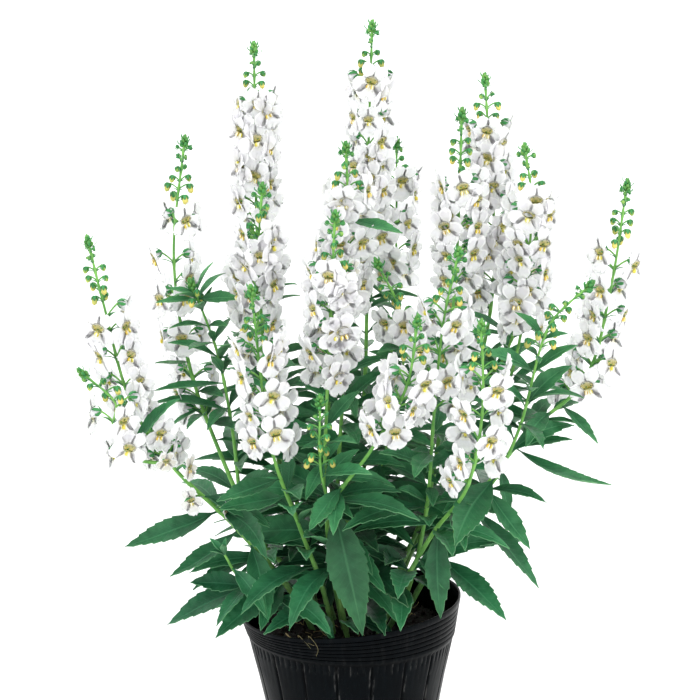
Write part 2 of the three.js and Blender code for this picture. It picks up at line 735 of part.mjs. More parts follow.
for (const { stem, order, lines } of plant) {
  lines.forEach((line, index) => {
    line.budBands.forEach((band, i) => {
      for (const half of [0, 180]) {
        const random = stream(SEED.bud + order * 1000 + index * 100 + 2 * i + half / 180);
        const age = (i + 0.5) / line.budBands.length;
        const out = heading(line.turn + 90 * i + half + BUD_SWING * (random() - 0.5));
        const axis = offset(out, [band.tangent, BUD_RISE]).normalize();
        const face = freeFace(band, axis);
        const bud = { band, face, root: band.place, axis, length: mix(...BUD_LENGTH, age),
          radius: mix(...BUD_RADIUS, age) };
        grow(stem, face ? [bud] : [], budSamples, budRings);
      }
    });
  });
}

for (const { stem, order, lines } of plant) {
  lines.forEach((line, index) => {
    line.leafBands.forEach((band, i) => {
      for (const half of [0, 180]) {
        const random = stream(SEED.leaf + order * 1000 + index * 100 + 2 * i + half / 180);
        const rise = (band.place.z - LEAF_LOW.height) / (LEAF_HIGH.height - LEAF_LOW.height);
        const height = clamp(rise, 0, 1);
        const swing = (most) => most * (random() - 0.5);
        const length = mix(LEAF_LOW.length, LEAF_HIGH.length, height) * (1 + swing(LEAF_SWING.length));
        const pitch = mix(LEAF_LOW.pitch, LEAF_HIGH.pitch, height) + swing(LEAF_SWING.pitch);
        const out = heading(line.turn + 90 * i + half + swing(LEAF_SWING.turn));
        const tip = offset(band.place, [out, length * Math.cos(rad(pitch))],
          [UP, length * Math.sin(rad(pitch))]);
        const leaf = { band, root: band.place, tip, width: length * LEAF_SLENDERNESS,
          arch: LEAF_ARCH * length, toothed: false };
        grow(stem, leafTries(leaf), leafSamples, leafRings);
      }
    });
  });
}

for (const { lines } of plant) lines.forEach(closeStem);

// Pot: the flutes and ridges are in the outer profile

function insideRadius(z) {
  return mix(POT_FOOT_RADIUS, POT_RIM_RADIUS, z / POT_HEIGHT) - POT_WALL - FLUTE_DEPTH;
}

function potRows() {
  const wide = (z) => mix(POT_FOOT_RADIUS, POT_RIM_RADIUS, z / POT_HEIGHT);
  const rows = [[0, 0], [FLUTE_BOTTOM, 0], [FLUTE_BOTTOM + 1, 1], [FLUTE_TOP - 1, 1], [FLUTE_TOP, 0]]
    .map(([z, fluted]) => ({ z, radius: wide(z), fluted }));
  const pitch = (RIDGE_BAND_TOP - RIDGE_BAND_BOTTOM) / RIDGES;
  for (let i = 0; i < RIDGES; i++) {
    const z = RIDGE_BAND_BOTTOM + pitch * i;
    rows.push({ z, radius: wide(z) - RIDGE_DEPTH }, { z: z + pitch / 2, radius: wide(z) });
  }
  rows.push({ z: RIDGE_BAND_TOP, radius: wide(RIDGE_BAND_TOP) - RIDGE_DEPTH });
  rows.push({ z: POT_HEIGHT, radius: POT_RIM_RADIUS, wave: RIM_WAVE });
  rows.push({ z: POT_HEIGHT, radius: POT_RIM_RADIUS - POT_WALL, wave: RIM_WAVE });
  for (const z of [RIDGE_BAND_BOTTOM, POT_FLOOR]) rows.push({ z, radius: insideRadius(z) });
  return rows;
}

// How far the rim's tilt and wave lift a point of the wall; the tilt begins at the lowest ridge
function rimLift(z, share, wave) {
  const tilted = Math.max(0, z - RIDGE_BAND_BOTTOM) / (POT_HEIGHT - RIDGE_BAND_BOTTOM);
  const angle = 2 * Math.PI * share;
  return RIM_TILT * tilted * Math.sin(angle) + wave * Math.sin(2 * angle + 0.6);
}

function round(radius, z, sides, shape = () => [0, 0]) {
  return Array.from({ length: sides }, (_, i) => {
    const [inward, lift] = shape(i);
    const angle = 360 * i / sides;
    return heading(angle).multiplyScalar(radius - inward).setZ(z + lift);
  });
}

function pot() {
  const sides = 2 * FLUTES;
  const rings = potRows().map(({ z, radius, fluted = 0, wave = 0 }) => round(radius, z, sides, (i) =>
    [i % 2 ? FLUTE_DEPTH * fluted : 0, rimLift(z, i / sides, wave)]));
  const cup = closedSkin([[vec([0, 0, 0])], ...rings, [vec([0, 0, POT_FLOOR])]]).solid();
  const drains = Array.from({ length: DRAIN_HOLES }, (_, i) => {
    const centre = heading(360 * i / DRAIN_HOLES).multiplyScalar(DRAIN_CIRCLE);
    return closedSkin([-1, POT_FLOOR + 1].map((z) =>
      round(DRAIN_RADIUS, z, DRAIN_SIDES).map((place) => place.add(centre)))).solid();
  });
  return drains.reduce((body, drain) => body.subtract(drain), cup);
}

function soil() {
  const random = stream(SEED.soil);
  const inset = Math.cos(Math.PI / (2 * FLUTES));
  const radiusAt = (z) => insideRadius(z) * inset - CLEARANCE;
  const low = POT_FLOOR + CLEARANCE;
  const rough = (lump) => () => [0, lump * (2 * random() - 1)];
  const rim = radiusAt(SOIL_TOP);
  const body = closedSkin([
    [vec([0, 0, low])],
    round(radiusAt(low), low, SOIL_SIDES),
    round(radiusAt(SOIL_TOP - SOIL_EDGE), SOIL_TOP - SOIL_EDGE, SOIL_SIDES),
    round(rim - SOIL_EDGE, SOIL_TOP - SOIL_EDGE / 3, SOIL_SIDES, rough(SOIL_LUMP / 2)),
    ...SOIL_RINGS.map((share) => round(rim * share, SOIL_TOP, SOIL_SIDES, rough(SOIL_LUMP))),
    [vec([0, 0, SOIL_TOP])],
  ]).solid();
  const holes = plant.map(({ lines: [trunk] }) => {
    const depth = trunk.rings.slice(0, HOLE_RUNS + 1).map((_, i) => i);
    const rows = depth.map((i) => {
      const corners = trunk.rings[i].ring.map((p) => trunk.skin.points[p]);
      const middle = corners.reduce((sum, p) => sum.add(p), vec([0, 0, 0])).divideScalar(STEM_SIDES);
      return corners.map((p) => offset(p, [p.clone().sub(middle).normalize(), CLEARANCE * Math.SQRT2],
        [UP, i ? 0 : -CLEARANCE]));
    });
    return closedSkin(rows).solid();
  });
  return holes.reduce((rest, hole) => rest.subtract(hole), body);
}

// Assembly

const MATERIALS = {
  pot: { color: '#1d1f21', roughness: 0.45, metalness: 0 },
  soil: { color: '#33261d', roughness: 0.95, metalness: 0 },
  stem: { color: '#2f7a42', roughness: 0.55, metalness: 0 },
};

const group = new THREE.Group();
group.name = 'potted_summer_snapdragon';

function add(name, body, material) {
  const mesh = new THREE.Mesh(geometryOf(body), new THREE.MeshStandardMaterial(MATERIALS[material]));
  mesh.name = name;
  group.add(mesh);
}

add('pot', pot(), 'pot');
add('soil', soil(), 'soil');
for (const { stem, lines } of plant) {
  add(stem, wasm.Manifold.union(lines.map(({ skin }) => skin.solid())), 'stem');
}

export default group;
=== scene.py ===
"""White summer snapdragon in a black nursery pot: the finish of every surface.

Lengths are millimetres until a mesh is made. Azimuths are degrees from -Y towards +X.
The plant grows by the same rule as its solids, so what has a solid is where its solid is. More buds,
leaves and flowers grow between, and some are changed a little to look as they do in the photograph.
"""
import itertools
import math

import bpy
import numpy as np
from mathutils.geometry import delaunay_2d_cdt
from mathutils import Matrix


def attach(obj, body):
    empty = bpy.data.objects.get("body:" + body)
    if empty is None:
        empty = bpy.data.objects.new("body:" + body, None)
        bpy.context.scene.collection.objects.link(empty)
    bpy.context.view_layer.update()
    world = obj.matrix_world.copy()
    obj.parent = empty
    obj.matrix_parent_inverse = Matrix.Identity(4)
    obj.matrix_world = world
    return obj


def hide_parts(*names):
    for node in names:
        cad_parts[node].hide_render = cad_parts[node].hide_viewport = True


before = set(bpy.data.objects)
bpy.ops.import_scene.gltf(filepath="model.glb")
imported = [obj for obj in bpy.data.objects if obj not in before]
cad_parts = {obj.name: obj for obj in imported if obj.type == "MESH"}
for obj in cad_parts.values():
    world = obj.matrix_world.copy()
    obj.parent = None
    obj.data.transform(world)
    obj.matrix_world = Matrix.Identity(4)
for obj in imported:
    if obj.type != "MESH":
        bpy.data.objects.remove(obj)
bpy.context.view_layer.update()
MM = 0.001

# Pot and soil
POT_HEIGHT = 92
POT_FOOT_RADIUS = 36
POT_RIM_RADIUS = 52.5
POT_WALL = 1.2
POT_FLOOR = 1.6
FLUTES = 18
FLUTE_DEPTH = 0.8
FLUTE_WIDTH = 0.5
FLUTE_STEPS = (-1.6, -0.9, -0.45, 0, 0.45, 0.9, 1.6)
FLUTE_BOTTOM = 8
FLUTE_TOP = 75
TICKS_PER_FLUTE = 5
TICK_BAND = (70.5, 76.2)
TICK_DEPTH = 0.4
TICK_WIDTH = 0.32
TICK_STEPS = (-0.5, 0, 0.5)
TICK_ROWS = (71.3, 71.7, 72, 72.4, 73, 74.4, 75.2, 75.8, 76.3)
RIDGES = 6
RIDGE_DEPTH = 0.75
BAND_STEP = 0.5
RIDGE_BAND_BOTTOM = 77
RIDGE_BAND_TOP = 89
RIM_WAVE = 0.5
RIM_TILT = 5
RIM_FLARE = 1.3
LEFT_BULGE = 2.8
# Soft waves of the wall: depth, number around, start, and the heights between which they grow
WALL_WAVES = [(0.25, 3, 1.0, 10, 60), (0.15, 7, 0.0, 60, POT_HEIGHT)]
DIMPLE = dict(azimuth=4.4, height=72, radius=0.9, depth=0.5)
DRAIN_HOLES = 6
DRAIN_RADIUS = 4
DRAIN_CIRCLE = 24
DRAIN_SIDES = 24
SOIL_TOP = 80
SOIL_LUMP = 1.6
SOIL_WAVES = [(17, 0.8), (9, 0.55), (5.2, 0.4), (2.9, 0.28), (1.7, 0.16)]
CLEARANCE = 0.35

# Growth, as in the solids
BAND_HEIGHT = 1.4
BAND_SPACING = 3
LEAF_SPACING = 9
LEAF_START = 84
STEM_TAPER = 0.8
STEM_MARGIN = 0.6
LEAST_FACING = 0.5
STEEPEST = 0.8
LEAF_LOW = dict(height=88, length=58, pitch=-14)
LEAF_HIGH = dict(height=245, length=24, pitch=26)
LEAF_SLENDERNESS = 0.215
LEAF_ARCH = 0.11
LEAF_KEEL = 1.2
FIRST_LEAF = 0.7
LEAF_SWING = dict(length=0.3, pitch=24, turn=30)
LEAF_OUTLINE = [(0, 0.1), (0.12, 0), (0.42, 1), (0.72, 0.76), (1, 0)]
POUCH_RADIUS = 2.2
FACE_AHEAD = 3.6
FACE_DROP = 1.5
PEDICEL_LENGTH = 9
PEDICEL_RISE = 32
FLOWER_NOD = 12
FLOWER_SWING = 16
FIRST_FLOWER = 30
FIRST_FLOWER_SWING = 30
BUD_START = 5.5
BUD_PAIR_GAP = 9.6
BUD_LENGTH = (4.8, 9)
BUD_RADIUS = (1.1, 2.5)
BUD_RISE = 0.45
BUD_SWING = 16
SAMPLE_STEP = 2.5
SAMPLE_RADIUS = 1.75
FLOWER_SAMPLES = [(0, 0, 1), (3, 0, 6), (6, 0, 11), (8.7, 0.8, 17), (4.8, -2.4, 8)]
FACE_STRETCH = 1.05
PEDICEL_SHARES = (0.35, 0.7, 1)
PEDICEL_MARGIN = 0.5
BUD_SHARES = (0.5, 0.8)
ROOT_ZONE = 5.5
KIN_DISTANCE = 3
NEIGHBOURHOOD = 6
RIM_GAP = dict(inside=5.5, outside=0.8, above=0.5)
SEED = {"flower": 0, "leaf": 50000, "bud": 90000, "extra bud": 120000, "extra leaf": 150000,
        "extra flower": 180000}
LEAF_TRIES = dict(size=(1, 0.86, 0.72), lift=(0, 0.12, -0.12, 0.26, -0.26, 0.42),
                  turn=(0, 9, -9, 18, -18, 30, -30, 45, -45))
FLOWER_TRIES = dict(size=(1, 0.9, 0.8), turn=(0, 12, -12, 24, -24, 38, -38, 55, -55))

# Each stem is a list of shoots: points that it passes, radius at foot and tip, length of its bud zone,
# flowers and the length that they take, leafy share and space between leaf pairs, azimuth of the first
STEMS = {
    "stem_far_left": [
        ([(-15, -7, 66), (-30, -13, 100), (-58, -17, 136), (-88, -24, 169), (-108, -17, 200),
          (-120, -11, 245), (-127, -10, 276)], (1.9, 0.7), 38, (12, 82), (0.48, 36), 30),
        ([(-88, -24, 169), (-106, -29, 174), (-114, -35, 190), (-113, -36, 203), (-129, -34, 217)],
         (1.1, 0.6), 24, (4, 30), (0, 29), 0),
        ([(-27, -12, 96), (-44, -25, 104), (-56, -33, 116), (-62, -37, 128)],
         (1.2, 0.8), 0, (0, 0), (1, 22), 60),
    ],
    "stem_left": [
        ([(-13, 2, 66), (-24, 0, 100), (-46, -1, 124), (-66, 9, 165), (-82, 19, 210),
          (-89, 27, 262), (-83, 30, 319)], (1.8, 0.7), 32, (11, 116), (0.55, 35), 75),
        ([(-57, 4, 143), (-60, 7, 178), (-67, 8, 217), (-79, 3, 253)],
         (1.2, 0.7), 12, (0, 0), (0.95, 26), 20),
    ],
    "stem_back_left": [
        ([(-9, 14, 66), (-18, 27, 100), (-30, 39, 135), (-44, 53, 195), (-49, 60, 262),
          (-50, 62, 362)], (1.8, 0.7), 30, (13, 64), (0.62, 38), 20),
        ([(-38, 47, 168), (-46, 42, 205), (-51, 33, 240), (-51, 28, 276)],
         (1.1, 0.6), 22, (5, 30), (0.4, 29), 50),
    ],
    "stem_mid_left": [
        ([(-6, 6, 66), (-18, 12, 105), (-35, 20, 148), (-44, 12, 200), (-47, 1, 250), (-44, 0, 300)],
         (1.7, 0.7), 24, (9, 50), (0.62, 35), 80),
    ],
    "stem_front_left": [
        ([(-7, -12, 66), (-16, -22, 108), (-27, -31, 142), (-40, -38, 185), (-48, -40, 258)],
         (1.7, 0.6), 30, (11, 54), (0.5, 32), 40),
    ],
    "stem_back": [
        ([(0, 12, 66), (-1, 25, 102), (2, 38, 145), (6, 48, 205), (7, 54, 300), (9, 54, 373)],
         (1.9, 0.7), 30, (14, 84), (0.6, 36), 45),
        ([(2, 36, 140), (12, 58, 168), (21, 76, 215), (22, 84, 270), (22, 86, 311)],
         (1.3, 0.6), 22, (8, 56), (0.55, 35), 20),
    ],
    "stem_middle": [
        ([(1, 1, 66), (-5, 3, 110), (-8, 5, 150), (-5, 10, 205), (-3, 14, 280), (-4, 14, 318)],
         (1.8, 0.7), 24, (11, 60), (0.6, 35), 45),
        ([(-6, 4, 128), (10, 7, 152), (22, 11, 195), (24, 12, 232), (11, 8, 262)],
         (1.2, 0.6), 36, (2, 12), (0.7, 28), 5),
    ],
    "stem_front": [
        ([(-2, -7, 66), (-10, -16, 110), (-14, -23, 160), (-12, -28, 225), (-9, -28, 291)],
         (1.7, 0.7), 30, (10, 54), (0.55, 32), 85),
    ],
    "stem_front_bent": [
        ([(-1, -16, 66), (-9, -26, 115), (-12, -32, 148), (8, -45, 182), (24, -57, 215),
          (29, -60, 248)], (1.8, 0.7), 28, (9, 44), (0.5, 32), 15),
        ([(-12, -32, 149), (-16, -44, 174), (-16, -50, 208)], (0.9, 0.6), 40, (0, 0), (0, 29), 0),
    ],
    "stem_right": [
        ([(9, 3, 66), (22, 5, 105), (36, 7, 140), (44, 11, 190), (50, 15, 260), (52, 16, 334)],
         (1.8, 0.7), 38, (8, 52), (0.6, 35), 35),
    ],
    "stem_front_right": [
        ([(9, -6, 66), (26, -11, 100), (35, -20, 145), (38, -28, 195), (42, -30, 240),
          (49, -30, 274)], (1.7, 0.6), 30, (8, 54), (0.55, 32), 70),
    ],
    "stem_back_right": [
        ([(12, 9, 66), (26, 18, 105), (43, 28, 140), (60, 44, 188), (71, 53, 250), (65, 52, 347)],
         (2.0, 0.7), 28, (13, 96), (0.55, 38), 0),
        ([(33, 22, 120), (52, 13, 148), (68, 11, 180), (81, 13, 220), (86, 11, 285), (82, 8, 318)],
         (1.4, 0.6), 28, (10, 72), (0.5, 32), 55),
        ([(60, 44, 188), (75, 37, 207), (85, 31, 240)], (1.0, 0.7), 0, (0, 0), (1, 22), 20),
    ],
    "stem_far_right": [
        ([(16, -1, 66), (35, -4, 105), (55, -6, 138), (83, -4, 178), (113, 3, 205), (125, 8, 250),
          (132, 12, 300)], (1.9, 0.7), 36, (11, 72), (0.58, 36), 25),
        ([(53, -6, 135), (69, -21, 163), (80, -24, 190), (92, -21, 235), (113, -12, 255)],
         (1.3, 0.6), 44, (0, 0), (0.75, 28), 48),
    ],
    "stem_low_right": [
        ([(6, -14, 66), (22, -24, 105), (38, -31, 137), (53, -52, 166), (59, -62, 205),
          (58, -62, 246)], (1.8, 0.7), 26, (10, 60), (0.5, 32), 50),
    ],
    "stem_rear_middle": [
        ([(-3, 18, 66), (-9, 38, 110), (-13, 62, 160), (-11, 84, 225), (-8, 91, 280)],
         (1.6, 0.6), 26, (8, 54), (0.6, 35), 30),
    ],
    "stem_rear_right": [
        ([(7, 17, 66), (22, 40, 110), (43, 66, 160), (57, 83, 220), (59, 87, 270)],
         (1.6, 0.6), 26, (8, 54), (0.6, 35), 75),
    ],
    "stem_rear_left": [
        ([(-15, 18, 66), (-27, 42, 110), (-42, 72, 165), (-50, 90, 215), (-52, 96, 258)],
         (1.6, 0.6), 26, (8, 54), (0.6, 35), 5),
    ],
}

# The large leaves: where each starts, its tip and its full width
LARGE_LEAVES = {
    "stem_far_left": [
        ((-66, -19, 144), (-109, -32, 133), 13), ((-57, -17, 134), (-88, -40, 120), 12),
        ((-51, -28, 112), (-78, -38, 114), 12), ((-50, -28, 110), (-89, -34, 93), 14),
        ((-51, -16, 127), (-57, -46, 98), 13), ((-34, -14, 105), (-66, -48, 87), 13),
    ],
    "stem_left": [
        ((-76, 4, 244), (-55, -2, 247), 7), ((-76, 4, 244), (-96, 2, 244), 6),
        ((-69, 7, 222), (-79, -18, 226), 7), ((-64, 8, 201), (-98, -2, 201), 8),
        ((-82, 19, 210), (-97, 0, 214), 7),
    ],
    "stem_front_left": [
        ((-30, -34, 157), (-64, -48, 154), 11), ((-34, -35, 166), (-64, -60, 162), 10),
        ((-13, -19, 97), (-45, -56, 84), 14),
    ],
    "stem_back_left": [((-44, 53, 195), (-70, 30, 190), 9)],
    "stem_front": [((-12, -20, 135), (-57, -44, 122), 16)],
    "stem_front_bent": [((-9, -34, 152), (5, -62, 94), 22), ((-5, -37, 160), (-21, -68, 150), 9)],
    "stem_middle": [
        ((11, 7, 152), (43, -32, 138), 15), ((5, 6, 141), (30, -22, 138), 12),
        ((13, 8, 161), (3, -30, 148), 13), ((-4, 4, 118), (34, -48, 108), 14),
        ((-3, 14, 282), (23, -4, 279), 8),
    ],
    "stem_right": [((26, 5, 116), (31, -46, 120), 10)],
    "stem_front_right": [((37, -26, 185), (57, -8, 184), 7)],
    "stem_low_right": [((40, -33, 141), (42, -56, 100), 13)],
    "stem_far_right": [
        ((42, -5, 117), (73, -42, 98), 13), ((58, -6, 142), (88, -28, 109), 13),
        ((64, -18, 155), (86, -34, 130), 11), ((68, -21, 162), (48, -46, 136), 14),
        ((79, -4, 172), (114, -40, 163), 12), ((101, 0, 194), (117, -22, 180), 8),
        ((80, -4, 174), (99, -24, 181), 8), ((72, -5, 162), (76, -12, 140), 8),
    ],
}

# Extra growth, which has no solid of its own
EXTRA_BUDS = dict(drop=0.6, turn=45, swing=30, rise=0.9, length=0.9, radius=0.8,
                  rule=dict(kin=1.6, clearance=0))
EXTRA_LEAVES = dict(gap=8.5, turn=50, size=(0.45, 0.95), pitch=70, width=1.25, end=0.35, bottom=106,
                    low=175, reach=58, rule=dict(kin=2.0, clearance=-0.6),
                    ways=dict(size=(1, 0.8), lift=(0, 0.25, -0.25), turn=(0, 14, -14, 32, -32)))

# Rows of extra flowers up a spike: azimuth of the first, turn to the next, swing and closeness
EXTRA_FLOWERS = [(45, 90, 60, dict(kin=1.3, clearance=-2.3)),
                 (225, 90, 60, dict(kin=1.3, clearance=-2.3)),
                 (-25, 0, 50, dict(kin=1.0, clearance=-2.8))]

# Stems with dense spikes, and the share of the extra flowers that grows on sparse ones
DENSE = {"stem_back_left", "stem_mid_left", "stem_back", "stem_middle", "stem_front", "stem_right",
         "stem_back_right"}
SPARSE = {"stem_far_left": 0.65, "stem_left": 0.4, "stem_far_right": 0.7, "stem_rear_left": 0.6,
          "stem_rear_middle": 0.6, "stem_rear_right": 0.6}

# Leaves that the photograph shows a little differently from their solids: stem, number and changes
LARGE_LEAF_FLATNESS = 0.4
# A change that gives a shade darkens that leaf's tint: painted shade on a leaf that faces the lamps.
RETOUCHED_LEAVES = {
    "stem_far_left": {0: dict(tip=(-110.5, -33, 132), width=13, arch=0), 1: dict(arch=-1),
                      3: dict(tip=(-90.5, -34, 93), width=14, arch=1.5),
                      5: dict(tip=(-67, -37, 88), width=14), 9: dict(size=0.7), 12: dict(size=0.85),
                      15: dict(size=0.8)},
    "stem_front_left": {2: dict(tip=(-43, -50, 94), width=10, arch=3)},
    "stem_front_bent": {0: dict(tip=(4, -60, 96.5), width=19, shade=0.55)},
    "stem_left": {7: dict(size=0.85)},
    "stem_far_right": {0: dict(arch=2), 1: dict(tip=(89.5, -28, 110), arch=3),
                       2: dict(tip=(84.5, -34, 130)), 3: dict(tip=(46.6, -72, 145.7), width=16),
                       4: dict(tip=(122, -40, 164), arch=-2.2), 12: dict(size=0.72)},
    "stem_front_right": {2: dict(size=0.5)},
    "stem_back_right": {6: dict(size=0.72)},
    "stem_low_right": {0: dict(tip=(41, -55, 103), width=12, shade=0.8), 4: dict(size=0.8)},
}

# Flowers that look another way than their solids: stem, number and azimuth
TURNED_FLOWERS = {"stem_low_right": {8: -80}}

# Old flowers low on a shoot: shoot, share of its length, azimuth, size and how far it has wilted
PLACED_FLOWERS = {"stem_far_left": [(0, 0.433, -15, 0.95, 0.4), (0, 0.397, 60, 0.6, 0.9)]}

# Old flowers that have turned brown, by the places where they show in the front view: [x, z]
WILTED_PLACES = [(-84, 170), (-62, 168), (2, 268), (31, 185)]
WILTED = dict(share=0.65, size=0.72, depth=0.3)

# Forms of leaves and flowers. A mark tells the material leaves and lobes, undersides and cups apart
MARK_LEAF, MARK_UNDER, MARK_CUP = 1.0, 0.5, 2.0
SHARP_EDGE = 52
LEAF_THICKNESS = 0.42
PETAL_THICKNESS = 0.28
LEAF_ROLL = dict(centre=np.array([0, 35, 0]), large=42, small=38, swing=24)
TEETH = dict(first=0.36, last=0.92, large=8, small=11, most=0.9, depth=0.16)
LOBE_BASE = 0.66
FACE_SWING = (44, 30, 34)
LOWER_NOTCHES = (0.32, 0.05, 0.14, 0.26, 0.0, 0.2)
FACES = len(LOWER_NOTCHES)
BUD_LOOK = dict(radius=(0.72, 1.75), length=(1.7, 5.2), stalk=(2.4, 6.6))
TIP_BUDS = 14
TIP_LEAVES = 4
GOLDEN_TURN = 2.4

# Each lobe: angle, root [side, up], length, half width, lift
LOBES = [(114, (-1.5, 2.0), 6.6, 3.6, -0.3), (66, (1.5, 2.0), 6.6, 3.6, -0.3),
         (208, (-2.3, -0.4), 6.9, 3.9, 0.9), (-28, (2.3, -0.4), 6.9, 3.9, 0.9),
         (-90, (0.0, -1.6), 7.9, 5.2, 1.4)]

# The tube behind a flower's face: how much each ring shrinks and shifts [up, ahead], and its tint
THROAT_TUBE = [((1, 1), (0, -0.35), "petal"), ((0.86, 0.86), (0.15, -1.4), "petal_base"),
               ((0.6, 0.62), (0.7, -3.2), "pouch"), ((0.16, 0.16), (1.2, -4.6), "pouch")]

TINTS = dict(
    leaf_deep=(0.008, 0.075, 0.035), leaf_mid=(0.025, 0.160, 0.068), leaf_young=(0.068, 0.300, 0.082),
    leaf_under=(0.120, 0.295, 0.150), stem_low=(0.110, 0.220, 0.060), stem_high=(0.200, 0.470, 0.100),
    bud_green=(0.075, 0.310, 0.075), bud_lime=(0.380, 0.540, 0.110), bud_cream=(0.860, 0.700, 0.190),
    # petal is lavender-grey, partly the petals' own faint lavender and partly painted shade; slit is
    # painted shade where the lips meet.
    calyx=(0.060, 0.290, 0.085), petal=(0.800, 0.785, 0.835), petal_base=(0.740, 0.740, 0.680),
    cup=(0.580, 0.520, 0.220), olive=(0.340, 0.310, 0.070), slit=(0.085, 0.080, 0.020),
    boss=(0.700, 0.620, 0.070), gold=(0.660, 0.450, 0.070), pouch=(0.560, 0.530, 0.180),
    wilted=(0.520, 0.440, 0.280), straw=(0.480, 0.370, 0.180),
)
TINTS = {name: np.array(tint) for name, tint in TINTS.items()}
POT_TINT = np.array([0.0009, 0.0019, 0.0027])
SOIL_TINT = np.array([0.012, 0.006, 0.005])

# What the materials multiply a tint by, in leaves, hazes and gaps, or mix into it. The soil's gaps, the
# petals' rim and the cup's slit are painted shade
SHADES = dict(
    leaf_mottle=(0.42, 0.58, 0.55), leaf_foot=(0.42, 0.52, 0.52), leaf_vein=(2.6, 1.75, 1.9),
    leaf_outer=(1.9, 1.45, 1.35), petal_grain=(0.66, 0.63, 0.74), petal_vein=(0.55, 0.5, 0.68),
    petal_border=(0.97, 0.97, 0.98), petal_edge_shade=(0.46, 0.45, 0.52), speck=(0.16, 0.09, 0.02),
    slit=(0.035, 0.035, 0.01), pot_haze=(0.55, 0.55, 0.58), scuff=(0.11, 0.11, 0.105),
    dust=(0.16, 0.155, 0.14), soil_gap_shade=(0.4, 0.38, 0.36), paper=(0.90, 0.90, 0.90),
    paper_light=(0.92, 0.92, 0.92),
)

# Crumbs and thin roots on the soil: how many, and how far from the pot's axis
CRUMBS = dict(count=420, reach=46)
STRAWS = dict(count=46, reach=45, wall=47)

# Dry root fibres that hang over the rim at the front left: azimuth, distance out from the wall, height
ROOTS = [
    [(-36, -3, 84), (-37.5, -1, 89.2), (-38, 0.3, 90.2), (-35, 0.7, 89), (-29, 0.6, 88.4),
     (-24, 0.5, 87.4), (-21, 0.6, 86.6)],
    [(-25, -2.5, 86), (-24, 0.1, 91.2), (-22, 0.8, 90.2), (-20, 0.6, 87.5), (-19, 0.5, 84.5),
     (-20.3, 0.6, 81)],
    [(-31, -2, 86), (-30, 0.2, 90.7), (-27, 0.8, 89), (-24.5, 0.6, 86.5), (-23, 0.5, 84.6)],
]

# Soft lamps: name, place and width in metres, and power in watts
LAMPS = [("key", (-1.1, -1.5, 1.7), 1.2, 1.8), ("fill", (1.5, -1.0, 0.9), 1.4, 0.5),
         ("back", (0.3, 1.6, 1.5), 1.2, 1.5)]
LAMP_TARGET = (0, 0, 0.2)
SKY_STRENGTH = 1.75
FLOOR_REACH = 14.0
CAMERA = dict(sensor=36, lens=116.4, place=(-0.002, -1.0739, 0.4582), pitch=77.5)


# Numbers and directions

UP = np.array([0.0, 0.0, 1.0])
SIDEWAYS = np.array([1.0, 0.0, 0.0])


def stream(seed):
    """One stream of random numbers per piece, the same as for its solid."""
    state = seed + 1000

    def draw():
        nonlocal state
        state = state * 16807 % 2147483647
        return state / 2147483647

    for _ in range(4):
        draw()
    return draw


def mix(a, b, share):
    return a * (1 - share) + b * share


def smooth(value, low, high):
    share = np.clip((value - low) / (high - low), 0, 1)
    return share * share * (3 - 2 * share)


def unit(v):
    return v / math.sqrt(v @ v)


def heading(azimuth):
    a = math.radians(azimuth)
    return np.array([math.sin(a), -math.cos(a), 0.0])


def turned(v, degrees):
    c, s = math.cos(math.radians(degrees)), math.sin(math.radians(degrees))
    return np.array([c * v[0] - s * v[1], s * v[0] + c * v[1], v[2]])


def frame_of(ahead):
    """The side and the upper face of a piece that grows ahead."""
    side = unit(np.cross(ahead, UP))
    return side, np.cross(side, ahead)


def arc(side, up, angle):
    """The direction at an angle from side towards up."""
    return math.cos(angle) * side + math.sin(angle) * up


# Growth

class Curve:
    """A smooth line through points, read by its length."""

    def __init__(self, path):
        points = np.array(path, float)
        self.points = np.vstack([2 * points[0] - points[1], points, 2 * points[-1] - points[-2]])
        self.shares = np.linspace(0, 1, 201)
        steps = np.linalg.norm(np.diff(self.at(self.shares), axis=0), axis=1)
        self.lengths = np.concatenate([[0], np.cumsum(steps)])
        self.length = float(self.lengths[-1])

    def at(self, t):
        runs = len(self.points) - 3
        place = np.atleast_1d(t) * runs
        i = np.minimum(np.floor(place).astype(int), runs - 1)
        w = (place - i)[:, None]
        p0, p1, p2, p3 = (self.points[i + k] for k in range(4))
        start, end = 0.5 * (p2 - p0), 0.5 * (p3 - p1)
        curve = 2 * p1 - 2 * p2 + start + end
        bend = -3 * p1 + 3 * p2 - 2 * start - end
        return curve * w ** 3 + bend * w ** 2 + start * w + p1

    def spots(self, lengths):
        shares = np.clip(np.atleast_1d(lengths) / self.length, 0, 1) * self.length
        return self.at(np.interp(shares, self.lengths, self.shares))

    def heading(self, length):
        t = np.interp(np.clip(length, 0, self.length), self.lengths, self.shares)
        low, high = max(t - 1e-4, 0), min(t + 1e-4, 1)
        return unit((self.at(high) - self.at(low))[0])


class Line:
    """A shoot."""

    def __init__(self, path, thick, buds, flowers, leafy, turn):
        self.curve = Curve(path)
        self.length = self.curve.length
        self.thick, self.buds, self.flowers, self.leafy, self.turn = thick, buds, flowers, leafy, turn
        self.bands = []

    def radius(self, at):
        return mix(*self.thick, np.clip(at / self.length, 0, 1) ** STEM_TAPER)

    def section(self, at):
        place, tangent = self.curve.spots(at)[0], self.curve.heading(at)
        side = unit(np.cross(tangent, [0, 1, 0]))
        front = np.cross(tangent, side)
        angles = [2 * math.pi * (i + 0.5) / 4 for i in range(4)]
        reach = self.radius(at)
        return [place + reach * arc(side, front, angle) for angle in angles]

    def band(self, at, spacing=BAND_SPACING):
        near = [band for band in self.bands if abs(band.at - at) < spacing]
        if not near:
            self.bands.append(Band(self, at))
        return near[0] if near else self.bands[-1]


